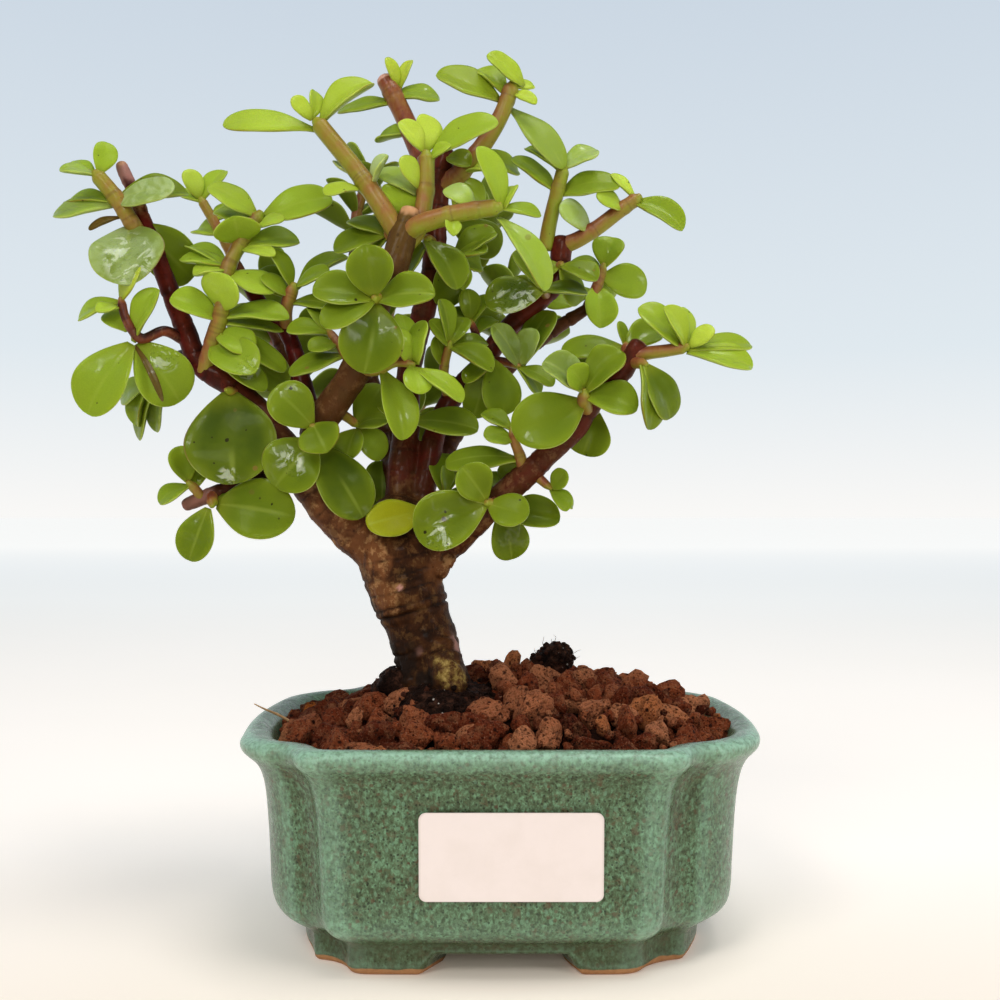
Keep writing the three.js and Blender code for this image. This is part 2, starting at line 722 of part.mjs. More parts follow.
    radii: [1.3, 1.2, 1],
    leaves: [
      [-36, 123, -29.5, 133, 3, 9, 15],
      [-36, 122.8, -28, 124.5, -2, 7, 60],
      [-35.5, 122.3, -29, 114.5, 2, 8, 40],
      [-36, 122, -38.5, 114.3, -3, 9, 30],
    ],
  },
  cross_leaf: {
    stem: [[-23.8, 120.5, 3], [-22, 124, -4.5]],
    radii: [1.4, 1.2],
    leaves: [
      [-21.8, 124.2, -5.5, 122, -4, 10, 55],
      [-22, 124, -29.5, 130, 3, 8, 30],
    ],
  },
  spotted_leaf: {
    stem: [[-4.3, 138, 4], [-2, 139.5, -3]],
    radii: [1.3, 1.1],
    leaves: [
      [-2, 139.5, 1, 125.3, -3, 10, 18],
      [-2.3, 139, -7, 124.5, 3, 9, 15],
      [-2.3, 139.2, -9, 134, -4, 6, 50],
    ],
  },
  grey_twig: {
    stem: [[-3.6, 139, 4], [1, 138.6, 0], [5, 137.5, -2]],
    radii: [1.2, 1.1, 0.9],
    leaves: [
      [5, 137.6, -1.5, 148, -3, 8, 35],
      [5.2, 137.8, 7.5, 148, -2, 8, 38],
      [5, 137.5, 13.5, 133, -3, 6, 55],
      [4.8, 137.5, 10.3, 130.5, 2, 6, 60],
      [5, 137.8, 12.5, 152, 5, 9, 45],
    ],
  },
  glossy_leaf: {
    stem: [[11.5, 155, 5], [10.8, 157, -2]],
    radii: [1.4, 1.2],
    leaves: [
      [10.6, 157, -3.5, 153.5, -3, 11, 32],
      [10.5, 157.3, 4, 166.5, 3, 7, 40],
      [10.8, 157, 22, 156.5, 2, 7, 66],
    ],
  },
  right_low_twig: {
    stem: [[6, 110, -12], [5, 115, -14], [3.5, 119, -15], [2.8, 122, -15]],
    radii: [1.5, 1.3, 1.1, 0.9],
    leaves: [
      [2.9, 122, -4.5, 126, 2, 6, 62],
      [3.4, 119.3, -4, 120.5, -3, 6, 55],
      [4.9, 115, -13.8, 113.8, -1, 9, 62],
      [5, 114.5, 0.5, 107.5, 7, 6, 30],
    ],
  },
  low_right_cluster: {
    stem: [[0, 104.5, -10], [-2, 103, -15], [-3.4, 103.3, -17]],
    radii: [1.5, 1.4, 1.3],
    leaves: [
      [-3.6, 103.2, -21, 95, -3, 14, 12],
      [-3.4, 103.8, -9.5, 112.3, -2, 9.5, 20],
      [-3.4, 103.6, -12.5, 105.5, 3, 5, 66],
      [-3, 103.1, 7, 100.3, -4, 9, 30],
    ],
  },
  low_right_back: {
    stem: [[0, 104, -10], [0.5, 101.5, -4.5]],
    radii: [1.5, 1.2],
    leaves: [
      [0.5, 101.5, 15, 99.3, -3, 9, 35],
      [0.3, 101.2, 3, 89, 2, 10, 20],
      [0.5, 101.5, -3, 111.5, 5, 8, 30],
    ],
  },
  inner_twig: {
    stem: [[-19.3, 105, 0.5], [-13.5, 105.8, -1.5]],
    radii: [1, 0.8],
    leaves: [
      [-13.5, 105.8, -13.8, 112.5, -2, 4.5, 60],
      [-13.7, 105.8, -13.5, 116, 4, 9, 20],
      [-13.3, 105.6, -8.5, 104, 3, 5, 50],
    ],
  },
  old_leaf: {
    stem: [[-22, 97.5, -2], [-19.5, 101.5, -9.5]],
    radii: [1.3, 1.1],
    leaves: [[-19.3, 101.7, -33.3, 98, -5, 10, 32]],
  },
  dark_leaf: {
    stem: [[-26, 101, -1], [-30, 103, 3.5]],
    radii: [1.2, 1],
    leaves: [
      [-29.7, 103, -29.5, 114, 2, 9, 15],
      [-30, 103, -36, 106, 3, 7, 40],
    ],
  },
  big_round_leaf: {
    stem: [[-65, 130.5, -5.5], [-69.5, 131.8, -12]],
    radii: [1.8, 1.5],
    leaves: [[-69.5, 131.5, -68.8, 108.5, -6, 23, 5]],
  },
  low_front: {
    stem: [[-48.5, 115, -6.5], [-46.7, 119.5, -14], [-46.8, 122.5, -16]],
    radii: [1.9, 1.7, 1.5],
    leaves: [
      [-46.9, 122.5, -56.5, 132, -3, 11, 15],
      [-46.8, 123, -43.5, 116.2, -5, 10.5, 5],
      [-46.6, 119, -56.5, 107.5, -2, 15, 12],
      [-46.3, 118.5, -34, 100, -2, 13, 30],
    ],
  },
  low_left_tip: {
    stem: [[-74.5, 104.5, -8.5], [-76, 106.5, -10], [-78, 108.5, -11]],
    radii: [1.4, 1.2, 1.1],
    leaves: [
      [-78, 108.5, -80.5, 117.5, -1, 7, 30],
      [-78, 108, -85.5, 103.5, -2, 7, 60],
      [-76.3, 107, -76, 113.5, 4, 6, 30],
    ],
  },
  low_left_pair: {
    stem: [[-71.8, 105.5, -8.5], [-72, 102.6, -12.5]],
    radii: [1.5, 1.2],
    leaves: [
      [-73.2, 102, -78, 88.8, 0, 9.5, 12],
      [-71, 103.2, -51.5, 100, -2, 15, 15],
      [-71, 103.5, -61, 110.5, 6, 9, 50],
    ],
  },
  right_tip: {
    stem: [[33.5, 140, -20], [37, 140.8, -21], [41, 141.3, -21], [47, 142.3, -22]],
    radii: [2, 1.6, 1.5, 1.4],
    leaves: [
      [46.5, 142.3, 35.3, 153, 1, 9, 50],
      [46.8, 142.5, 41.5, 152.5, -4, 7, 55],
      [47, 142.5, 46.5, 152.5, 4, 5, 45],
      [47, 142.5, 53.3, 147.5, -2, 5, 45],
      [47, 142.2, 63, 143.5, 4, 8, 66],
      [47, 142, 63.6, 138, -2, 9, 58],
    ],
  },
  right_tip_left: {
    stem: [[32, 139, -19.5], [31.5, 143, -15.5]],
    radii: [1.5, 1.2],
    leaves: [
      [31.3, 142.8, 15.3, 142, 0, 9, 60],
      [31.5, 142.8, 40, 147, 3, 8, 30],
      [31, 142.3, 18, 137.5, 5, 8, 45],
      [31.4, 143, 30.3, 149, 2, 3, 40],
    ],
  },
  right_hanging: {
    stem: [[33, 138.5, -20], [36.5, 138, -25]],
    radii: [1.5, 1.2],
    leaves: [
      [36.5, 138, 38.2, 121.8, -3, 9, 64],
      [36.8, 138, 42.8, 124.3, 1, 11, 55],
    ],
  },
  right_middle: {
    stem: [[22, 126, -17], [21, 129, -21], [21, 131.5, -22]],
    radii: [1.7, 1.5, 1.3],
    leaves: [
      [21, 131.5, 11, 139, -1, 10, 50],
      [21.2, 131.5, 30.5, 141.5, -1, 10, 50],
      [21, 131.8, 17.5, 137, -4, 7, 30],
      [21.3, 130.5, 34.5, 127.3, -3, 10, 42],
      [20.8, 128.8, 3.5, 120.5, -3, 14, 20],
      [21, 129.5, 33, 130.5, 7, 7, 40],
    ],
  },
  right_under: {
    stem: [[22.7, 127.5, -17], [24.3, 126, -12]],
    radii: [1.4, 1.1],
    leaves: [[24.2, 126, 20.5, 115.2, 2, 11, 12]],
  },
  right_low_bud: {
    stem: [[8, 111, -13], [12.8, 106.8, -14]],
    radii: [1.4, 0.9],
    leaves: [
      [12.8, 106.9, 16.5, 111.2, -3, 5, 30],
      [12.8, 106.7, 17, 101.5, -2, 5, 40],
      [13, 106.8, 18.5, 102.3, 4, 4, 55],
    ],
  },
  back_right: {
    stem: [[21.5, 151.5, 24], [24.5, 158, 25], [26, 163, 25]],
    radii: [1.5, 1.4, 1.2],
    leaves: [
      [26, 162.5, 28.3, 170, 2, 9, 20],
      [25.5, 160, 37, 157.5, 2, 10.5, 20],
      [24.5, 158, 25.5, 147.5, -4, 9.5, 20],
      [24, 157, 11.5, 153.5, -5, 8, 35],
      [25.5, 161, 17.5, 164, 4, 8, 50],
      [24.8, 158.5, 28, 153, 8, 9, 40],
    ],
  },
  back_left: {
    stem: [[-65.5, 161.5, 20], [-68.5, 168, 20], [-75, 179.5, 20]],
    radii: [1.5, 1.4, 1.3],
    leaves: [
      [-75, 179.5, -78.5, 187, -2, 6, 45],
      [-75, 179.5, -69, 187, 3, 7, 45],
      [-75, 179, -81, 181.5, 2, 5, 60],
      [-72, 174.3, -65, 178, 5, 7, 50],
      [-70, 171, -76, 172, 6, 8, 50],
      [-68.5, 168, -61, 170.5, 4, 8, 50],
    ],
  },
};

// Shoots on the far side grow by rule: crossed pairs of leaves up a stem, larger below and smaller above.
const grownShoots = {
  far_side_left: { stem: [[-53, 140, 17], [-58, 147, 27], [-59, 158, 33]], pairs: 4, leaf: 15, seed: 3 },
  far_side_low: { stem: [[-48.5, 127, 11], [-50, 134, 22], [-49, 143, 29]], pairs: 4, leaf: 16, seed: 8 },
  far_side_middle: { stem: [[-34, 140, 23], [-28, 150, 32], [-26, 161, 36]], pairs: 4, leaf: 15, seed: 14 },
  far_side_crown: { stem: [[-36.3, 166, 28], [-36, 175, 30], [-33, 185, 30]], pairs: 4, leaf: 14, seed: 21 },
  far_side_inner: { stem: [[-27.5, 117, 9], [-22, 124, 20], [-17, 133, 26]], pairs: 4, leaf: 14, seed: 27 },
  far_side_right: { stem: [[4, 138.5, 21], [4, 148, 30], [2, 159, 34]], pairs: 4, leaf: 15, seed: 33 },
  far_side_top: { stem: [[-16, 175, 4], [-9, 172, 15], [-4, 176, 23]], pairs: 4, leaf: 14, seed: 41 },
};

const grownRadii = [1.7, 1.5, 1.2];

// A leaf's half width and thickness along its length, as shares of the greatest.
const leafStations = [
  { at: 0.42, half: 0.84, thick: 1 },
  { at: 0.78, half: 0.92, thick: 0.9 },
];

// A leaf from its root, inside the stem, to its tip.
function leafSolid({ base, tip, width, normal }, root, grow) {
  const along = tip.clone().sub(base);
  const length = along.length();
  along.normalize();
  const across = along.clone().cross(normal).normalize();
  const spine = (s) =>
    base
      .clone()
      .addScaledVector(along, s * length)
      .addScaledVector(normal, -0.05 * length * (2 * s - 1) ** 2);
  const rings = leafStations.map(({ at, half, thick }) => {
    const w = (width / 2) * half + grow;
    const t = (leafThickness / 2) * thick + grow;
    const lift = 0.22 * (width / 2) * half;
    const c = spine(at);
    return [
      c.clone().addScaledVector(across, -w).addScaledVector(normal, lift),
      c.clone().addScaledVector(normal, t),
      c.clone().addScaledVector(across, w).addScaledVector(normal, lift),
      c.clone().addScaledVector(normal, -t),
    ];
  });
  return loft(rings, root, spine(1).addScaledVector(along, grow));
}

// The way a leaf's upper face points, for a leaf whose place is read from the viewpoint.
function faceNormal(base, tip, roll) {
  const along = tip.clone().sub(base).normalize();
  const toEye = new THREE.Vector3(0, -1, 0);
  const facing = toEye.addScaledVector(along, -toEye.dot(along)).normalize();
  const side = facing.clone().cross(along).normalize();
  const upright = Math.abs(side.z) < 0.15;
  if (upright ? side.x < 0 : side.z < 0) side.negate();
  const angle = THREE.MathUtils.degToRad(roll);
  return facing.multiplyScalar(Math.cos(angle)).addScaledVector(side, Math.sin(angle));
}

// The point of a stem's middle line that is nearest to a leaf's foot, kept inside the stem's ends.
const nearestOn = (curve, point) => {
  const samples = curve.getSpacedPoints(40).slice(2, -2);
  return samples.reduce((best, p) => (p.distanceTo(point) < best.distanceTo(point) ? p : best));
};

function readLeaves(stemPoints, leaves) {
  const flat = new THREE.CatmullRomCurve3(
    stemPoints.map(([u, w, y]) => new THREE.Vector3(u, w, y)),
    false,
    "centripetal",
  );
  const samples = flat.getSpacedPoints(60);
  const apart = (p, u, w) => Math.hypot(p.x - u, p.y - w);
  return leaves.map(([u0, w0, u1, w1, dy, width, roll]) => {
    const root = samples.reduce((best, p) => (apart(p, u0, w0) <= apart(best, u0, w0) ? p : best));
    const base = seen(u0, w0, root.z);
    const tip = seen(u1, w1, root.z + dy);
    return { base, tip, width, normal: faceNormal(base, tip, roll) };
  });
}

function grownLeaves(curve, pairs, leaf, seed) {
  const found = [];
  for (let k = 0; k < pairs; k++) {
    const t = 0.3 + (0.7 * k) / (pairs - 1);
    const base = curve.getPointAt(t);
    const up = curve.getTangentAt(t);
    const side = new THREE.Vector3(0, 0, 1).cross(up).normalize();
    const turn = (k % 2) * (Math.PI / 2) + 0.5 * hash(seed + k);
    for (const hand of [0, Math.PI]) {
      const outward = side.clone().applyAxisAngle(up, turn + hand);
      const rise = 0.45 + 0.5 * (k / pairs) + 0.2 * hash(seed * 3 + k);
      const length = leaf * (1 - 0.09 * k) * (0.88 + 0.24 * hash(seed * 5 + k + hand));
      const along = outward.clone().addScaledVector(up, rise).normalize();
      const tip = base.clone().addScaledVector(along, length);
      const normal = up.clone().addScaledVector(along, -up.dot(along)).normalize();
      found.push({ base, tip, width: length * 0.68, normal });
    }
  }
  return found;
}

function shootSolid(points, radii, leaves, grow) {
  const curve = new THREE.CatmullRomCurve3(points, false, "centripetal");
  const pieces = [limb(points, radii, grow, 5)];
  for (const leaf of leaves) pieces.push(leafSolid(leaf, nearestOn(curve, leaf.base), grow));
  return union(pieces);
}

// ---- Assembly ----
const trunkGrown = trunkSolid(fitGap);

addPiece("pot", buildPot(), glaze);
for (const [name, hand] of [["drain_mesh_left", -1], ["drain_mesh_right", 1]]) {
  addPiece(name, buildDrainMesh(pot.centreX + hand * pot.drainX), plastic);
}
addPiece("potting_soil", soilBlock().subtract(trunkGrown), peat);
const buried = union([peatHeap(fitGap), trunkGrown, clodSolid(fitGap), strawSolid(fitGap)]);
addPiece("gravel", largestBody(gravelBed().subtract(buried)), lava);
addPiece("soil_clod", clodSolid(0), peat);
addPiece("dry_straw", strawSolid(0), dryGrass);
addPiece("label", solidOf(buildLabel()), paper);
addPiece("trunk", trunkSolid(0), bark);

const placed = []; // shoots already in place, grown by the gap, which later shoots keep clear of
function addShoot(name, points, radii, leaves) {
  const own = shootSolid(points, radii, leaves, 0);
  let solid = own.subtract(trunkGrown);
  for (const other of placed) solid = solid.subtract(other);
  addPiece("shoot_" + name, largestBody(solid), leafGreen);
  placed.push(shootSolid(points, radii, leaves, fitGap));
}

for (const [name, { stem, radii, leaves }] of Object.entries(shoots)) {
  addShoot(name, stem.map((p) => seen(...p)), radii, readLeaves(stem, leaves));
}
for (const [name, { stem, pairs, leaf, seed }] of Object.entries(grownShoots)) {
  const points = stem.map((p) => seen(...p));
  const curve = new THREE.CatmullRomCurve3(points, false, "centripetal");
  addShoot(name, points, grownRadii, grownLeaves(curve, pairs, leaf, seed));
}

// The origin is on the table under the middle of the whole tree's bounding box.
const bounds = new THREE.Box3().setFromObject(tree);
tree.position.set(-(bounds.min.x + bounds.max.x) / 2, -(bounds.min.y + bounds.max.y) / 2, -bounds.min.z);

const bonsai = new THREE.Group();
bonsai.add(tree);
export default bonsai;
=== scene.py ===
# A small dwarf jade bonsai in a green glazed pot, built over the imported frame.
# Sizes in the dictionaries are millimetres in the tree's own space: x right, y away from the front, z up.
# Only the lights and the room are given in metres.
import math
import bmesh
import bpy
import numpy as np
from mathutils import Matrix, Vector
from mathutils.geometry import tessellate_polygon


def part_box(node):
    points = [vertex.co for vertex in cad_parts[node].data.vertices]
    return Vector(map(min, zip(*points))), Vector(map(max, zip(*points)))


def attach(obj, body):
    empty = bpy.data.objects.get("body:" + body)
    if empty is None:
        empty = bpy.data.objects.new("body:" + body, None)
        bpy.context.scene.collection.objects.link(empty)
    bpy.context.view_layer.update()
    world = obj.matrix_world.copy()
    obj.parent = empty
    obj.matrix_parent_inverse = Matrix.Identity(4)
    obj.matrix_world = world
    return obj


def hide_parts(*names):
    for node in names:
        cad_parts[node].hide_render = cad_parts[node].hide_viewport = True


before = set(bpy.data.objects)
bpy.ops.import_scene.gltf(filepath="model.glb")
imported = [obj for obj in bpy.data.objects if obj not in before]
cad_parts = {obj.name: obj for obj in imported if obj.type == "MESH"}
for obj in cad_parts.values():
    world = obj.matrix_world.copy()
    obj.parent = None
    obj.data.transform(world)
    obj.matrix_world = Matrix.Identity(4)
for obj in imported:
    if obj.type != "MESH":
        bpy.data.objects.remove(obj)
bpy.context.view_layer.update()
potLow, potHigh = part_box("pot")
potMiddle = 0.8  # the middle of the pot's box, to the right of the tree's own origin
treeShift = np.array([(potLow.x + potHigh.x) * 500 - potMiddle, 0.0, 0.0])
eye = {"distance": 300.0, "height": 101.0, "lens": 43.2, "sensor": 36.0, "lookUp": 0.573}  # the camera
noFaces = {"quads": np.zeros((0, 4), int), "tris": np.zeros((0, 3), int)}


def toRow(points):
    return (np.asarray(points, float) + treeShift) / 1000


def seen(u, w, y):  # the point at depth y that shows u across and w up on the plane y = 0
    scale = (eye["distance"] + y) / eye["distance"]
    return np.array([u * scale, y, eye["height"] + (w - eye["height"]) * scale])


def unit(vector):
    return vector / max(np.linalg.norm(vector), 1e-9)


def turnsOf(count):  # evenly spaced angles round a ring
    return 2 * np.pi * np.arange(count) / count


def colour(red, green, blue):  # screen colour to the linear values that shaders use
    shares = [c / 255 for c in (red, green, blue)]
    return tuple(c / 12.92 if c < 0.0404 else ((c + 0.055) / 1.055) ** 2.4 for c in shares) + (1.0,)


def smoothStep(low, high, x):
    t = np.clip((x - low) / (high - low), 0, 1)
    return t * t * (3 - 2 * t)


# Repeatable roughness for shapes.
def valueNoise(points, seed):
    cell = np.floor(points).astype(np.int64)
    f = points - cell
    f = f * f * (3 - 2 * f)
    total = np.zeros(len(points))
    for corner in range(8):
        step = [(corner >> k) & 1 for k in range(3)]
        n = seed * 974711
        weight = np.ones(len(points))
        for k, prime in enumerate((374761393, 668265263, 1440662683)):
            n = n + (cell[:, k] + step[k]) * prime
            weight = weight * (f[:, k] if step[k] else 1 - f[:, k])
        n = n & 0x7FFFFFFF
        n = ((n ^ (n >> 13)) * 1274126177) & 0x7FFFFFFF
        total += weight * ((n ^ (n >> 16)) & 0xFFFF) / 65535
    return 2 * total - 1


def rough(points, size, seed, octaves=3):
    points = np.asarray(points, float) / size
    total = np.zeros(len(points))
    for k in range(octaves):
        total += valueNoise(points * 2**k + 17.3 * k, seed + k) / 2**k
    return total / 1.6


# Meshes.
def joinParts(parts):  # each part: verts, quads, tris, values, and the number of its material
    verts, quads, tris, quadSlots, triSlots = [], [], [], [], []
    values = {key: [] for part in parts for key in part["values"]}
    start = 0
    for part in parts:
        count = len(part["verts"])
        verts.append(part["verts"])
        quads.append(part["quads"] + start)
        tris.append(part["tris"] + start)
        quadSlots.append(np.full(len(quads[-1]), part.get("slot", 0)))
        triSlots.append(np.full(len(tris[-1]), part.get("slot", 0)))
        for key, found in values.items():
            found.append(np.broadcast_to(part["values"].get(key, 0.0), (count,)))
        start += count
    return {
        "verts": np.concatenate(verts),
        "quads": np.concatenate(quads),
        "tris": np.concatenate(tris),
        "slots": np.concatenate(quadSlots + triSlots),
        "values": {key: np.concatenate(found) for key, found in values.items()},
    }


def meshOf(name, whole):
    mesh = bpy.data.meshes.new(name)
    quads, tris = whole["quads"], whole["tris"]
    mesh.vertices.add(len(whole["verts"]))
    mesh.vertices.foreach_set("co", toRow(whole["verts"]).astype(np.float32).ravel())
    mesh.loops.add(quads.size + tris.size)
    mesh.loops.foreach_set("vertex_index", np.concatenate([quads.ravel(), tris.ravel()]).astype(np.int32))
    starts = np.concatenate([np.arange(len(quads)) * 4, quads.size + np.arange(len(tris)) * 3])
    mesh.polygons.add(len(starts))
    mesh.polygons.foreach_set("loop_start", starts.astype(np.int32))
    mesh.polygons.foreach_set("material_index", whole["slots"].astype(np.int32))
    mesh.polygons.foreach_set("use_smooth", np.ones(len(starts), bool))
    mesh.update(calc_edges=True)
    mesh.validate()
    for key, value in whole["values"].items():
        layer = mesh.attributes.new(key, "FLOAT", "POINT")
        layer.data.foreach_set("value", value.astype(np.float32))
    return mesh


def addObject(name, data):
    thing = bpy.data.objects.new(name, data)
    bpy.context.scene.collection.objects.link(thing)
    return thing


def addPiece(name, parts, materials, node):
    piece = addObject(name, meshOf(name, joinParts(parts)))
    for material in materials:
        piece.data.materials.append(material)
    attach(piece, "root")
    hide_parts(node)
    return piece


def smoothPath(points, radii, step):  # a smooth line through the points, and the radius along it
    data = np.column_stack([np.array(points, float), radii])
    lengths = np.linalg.norm(np.diff(data[:, :3], axis=0), axis=1)
    t = np.concatenate([[0], np.cumsum(lengths)])
    slopes = np.gradient(data, t, axis=0)
    s = np.linspace(0, t[-1], max(3, int(t[-1] / step) + 1))
    k = np.clip(np.searchsorted(t, s, "right") - 1, 0, len(lengths) - 1)
    h, x = lengths[k][:, None], ((s - t[k]) / lengths[k])[:, None]
    path = (2 * x**3 - 3 * x**2 + 1) * data[k] + (x**3 - 2 * x**2 + x) * h * slopes[k]
    path += (3 * x**2 - 2 * x**3) * data[k + 1] + (x**3 - x**2) * h * slopes[k + 1]
    return path[:, :3], path[:, 3], s


def framesAlong(path):
    tangents = np.gradient(path, axis=0)
    tangents /= np.linalg.norm(tangents, axis=1)[:, None]
    normal = np.array([1.0, 0, 0]) if abs(tangents[0][1]) > 0.9 else np.array([0, 1.0, 0])
    normals = []
    for tangent in tangents:
        normal = unit(normal - tangent * normal.dot(tangent))
        normals.append(normal)
    normals = np.array(normals)
    return tangents, normals, np.cross(tangents, normals)


def openSkin(rings):  # rings: (count, sides, 3), open at both ends
    count, sides = rings.shape[:2]
    i, k = np.meshgrid(np.arange(count - 1), np.arange(sides), indexing="ij")
    after = (k + 1) % sides
    corners = [i * sides + k, i * sides + after, (i + 1) * sides + after, (i + 1) * sides + k]
    quads = np.stack(corners, -1).reshape(-1, 4)
    return {**noFaces, "verts": rings.reshape(-1, 3), "quads": quads, "values": {}}


def closedSkin(rings, start, end):  # the same, closed on a point at each end
    part = openSkin(rings)
    low = len(part["verts"])
    top = low - rings.shape[1]
    k = np.arange(rings.shape[1])
    after = (k + 1) % len(k)
    caps = [np.stack([after, k, k * 0 + low], -1), np.stack([top + k, top + after, k * 0 + low + 1], -1)]
    part["verts"] = np.concatenate([part["verts"], [start, end]])
    part["tris"] = np.concatenate(caps)
    return part


def tube(points, radii, step, sides, swell=None):  # a round stem with rounded ends
    path, radius, s = smoothPath(points, radii, step)
    if swell is not None:
        radius = radius * swell(s)
    tangents, normals, across = framesAlong(path)
    first, last = radius[0], radius[-1]
    ends = [(0.3, 0.9), (0.5, 0.65), (0.6, 0.3)]
    lead = [path[0] - tangents[0] * first * d for d, r in reversed(ends)]
    tail = [path[-1] + tangents[-1] * last * d for d, r in ends]
    centres = np.concatenate([lead, path, tail])
    size = np.concatenate([[first * r for d, r in reversed(ends)], radius, [last * r for d, r in ends]])
    pick = np.clip(np.arange(len(centres)) - len(ends), 0, len(path) - 1)
    angle = turnsOf(sides)[None, :, None]
    circle = np.cos(angle) * normals[pick][:, None] + np.sin(angle) * across[pick][:, None]
    rings = centres[:, None] + size[:, None, None] * circle
    part = closedSkin(rings, path[0] - tangents[0] * first * 0.62, path[-1] + tangents[-1] * last * 0.62)
    part["values"]["along"] = np.concatenate([np.repeat(s[pick], sides), [0, s[-1]]])
    return part


# Shader nodes.
class Board:  # the nodes of one material or group, with short calls for the usual ones
    def __init__(self, tree):
        self.tree = tree

    def link(self, output, socket):
        self.tree.links.new(output, socket)

    def fill(self, node, inputs):  # links sockets, and sets plain values
        for key, value in inputs.items():
            if isinstance(value, bpy.types.NodeSocket):
                self.link(value, node.inputs[key])
            elif value is not None:
                node.inputs[key].default_value = value
        return node

    def add(self, kind, inputs=None, **settings):
        node = self.tree.nodes.new("ShaderNode" + kind)
        for key, value in settings.items():
            setattr(node, key, value)
        return self.fill(node, inputs or {})

    def math(self, operation, a, b=0.0):
        return self.add("Math", {0: a, 1: b}, operation=operation).outputs[0]

    def plus(self, a, b):
        return self.math("ADD", a, b)

    def times(self, a, b):
        return self.math("MULTIPLY", a, b)

    def mix(self, share, a, b):  # a screen colour is three numbers
        found = {0: share}
        for key, value in ((6, a), (7, b)):
            screen = isinstance(value, tuple) and len(value) == 3
            found[key] = colour(*value) if screen else value
        return self.add("Mix", found, data_type="RGBA", clamp_factor=True).outputs[2]

    def over(self, base, mask, most, shade):  # lays a shade on the base, at most this strongly
        return self.mix(self.times(mask, most), base, shade)

    def span(self, value, low, high, first=0.0, last=1.0, kind="SMOOTHSTEP"):
        found = {"Value": value, "From Min": low, "From Max": high, "To Min": first, "To Max": last}
        return self.add("MapRange", found, interpolation_type=kind).outputs[0]

    def noise(self, vector, scale, detail=3.0, roughness=0.55, distortion=0.0):
        found = {"Vector": vector, "Scale": scale, "Detail": detail}
        return self.add("TexNoise", {**found, "Roughness": roughness, "Distortion": distortion}).outputs[0]

    def cells(self, vector, scale):
        return self.add("TexVoronoi", {"Vector": vector, "Scale": scale}).outputs[0]

    def value(self, name):
        return self.add("Attribute", attribute_name=name).outputs["Fac"]

    def place(self):
        return self.add("TexCoord").outputs["Object"]

    def stretched(self, vector, x, y, z):
        return self.add("Mapping", {"Vector": vector, "Scale": (x, y, z)}).outputs[0]

    def joined(self, x, y, z):
        return self.add("CombineXYZ", {0: x, 1: y, 2: z}).outputs[0]

    def moved(self, vector, shift):
        return self.add("VectorMath", {0: vector, 1: shift}, operation="ADD").outputs[0]

    def ramp(self, share, stops):
        node = self.add("ValToRGB", {"Fac": share})
        ends = node.color_ramp.elements
        while len(ends) < len(stops):
            ends.new(0.5)
        for end, (position, shade) in zip(ends, stops.items()):
            end.position = position
            end.color = colour(*shade) if len(shade) == 3 else shade
        return node.outputs[0]

    def bump(self, height, distance, strength):
        return self.add("Bump", {"Height": height, "Distance": distance, "Strength": strength}).outputs[0]

    def group(self, tree, inputs):
        return self.fill(self.add("Group", node_tree=tree), inputs).outputs


def newGroup(name, inputs, outputs):  # each input with its default, or None for a vector without one
    tree = bpy.data.node_groups.new(name, "ShaderNodeTree")
    for key, value in inputs.items():
        kind = "NodeSocketFloat" if isinstance(value, float) else "NodeSocketVector"
        socket = tree.interface.new_socket(name=key, in_out="INPUT", socket_type=kind)
        if value is not None:
            socket.default_value = value
    for key in outputs:
        tree.interface.new_socket(name=key, in_out="OUTPUT", socket_type="NodeSocketFloat")
    start = tree.nodes.new("NodeGroupInput")
    end = tree.nodes.new("NodeGroupOutput")
    return Board(tree), start.outputs, end.inputs


def newMaterial(name):
    material = bpy.data.materials.new(name)
    material.use_nodes = True
    return material, Board(material.node_tree), material.node_tree.nodes["Principled BSDF"]


def connect(board, shader, links, fixed):
    board.fill(shader, {**links, **fixed})


# Effects that several materials share.
def buildSpecks():  # small round marks, on some of the cells only
    defaults = {"Vector": None, "Scale": 800.0, "Share": 0.3, "Size": 0.25}
    board, given, out = newGroup("specks", defaults, ["Mask"])
    node = board.add("TexVoronoi", {"Vector": given["Vector"], "Scale": given["Scale"]})
    near = board.math("LESS_THAN", node.outputs["Distance"], given["Size"])
    lot = board.add("SeparateColor", {"Color": node.outputs["Color"]}).outputs[0]
    board.link(board.times(near, board.math("LESS_THAN", lot, given["Share"])), out["Mask"])
    return board.tree


def buildGrain():  # coarse patches and fine grain
    defaults = {"Vector": None, "Scale": 300.0, "Fine": 2500.0}
    board, given, out = newGroup("grain", defaults, ["Patches", "Grain"])
    board.link(board.noise(given["Vector"], given["Scale"], 4.0, 0.6, 0.3), out["Patches"])
    board.link(board.noise(given["Vector"], given["Fine"], 3.0, 0.65), out["Grain"])
    return board.tree


def buildPores():  # the pitted, crumbly face of burnt clay and peat, with a mask that paints shade into the pits
    board, given, out = newGroup("pores", {"Vector": None, "Scale": 900.0}, ["Height", "HollowShade"])
    vector, scale = given["Vector"], given["Scale"]
    warp = board.joined(*[board.noise(vector, scale, 2.0, 0.6)] * 3)
    shift = board.add("VectorMath", {0: warp, "Scale": 0.0006}, operation="SCALE").outputs[0]
    moved = board.moved(vector, shift)
    hollowShade = board.span(board.cells(moved, scale), 0.42, 0.12)
    small = board.cells(moved, board.times(scale, 2.7))
    crumb = board.noise(vector, board.times(scale, 2.0), 4.0, 0.7)
    height = board.math("SUBTRACT", board.times(crumb, 0.9), board.times(hollowShade, 0.8))
    board.link(board.plus(height, board.times(small, 0.35)), out["Height"])
    board.link(hollowShade, out["HollowShade"])
    return board.tree


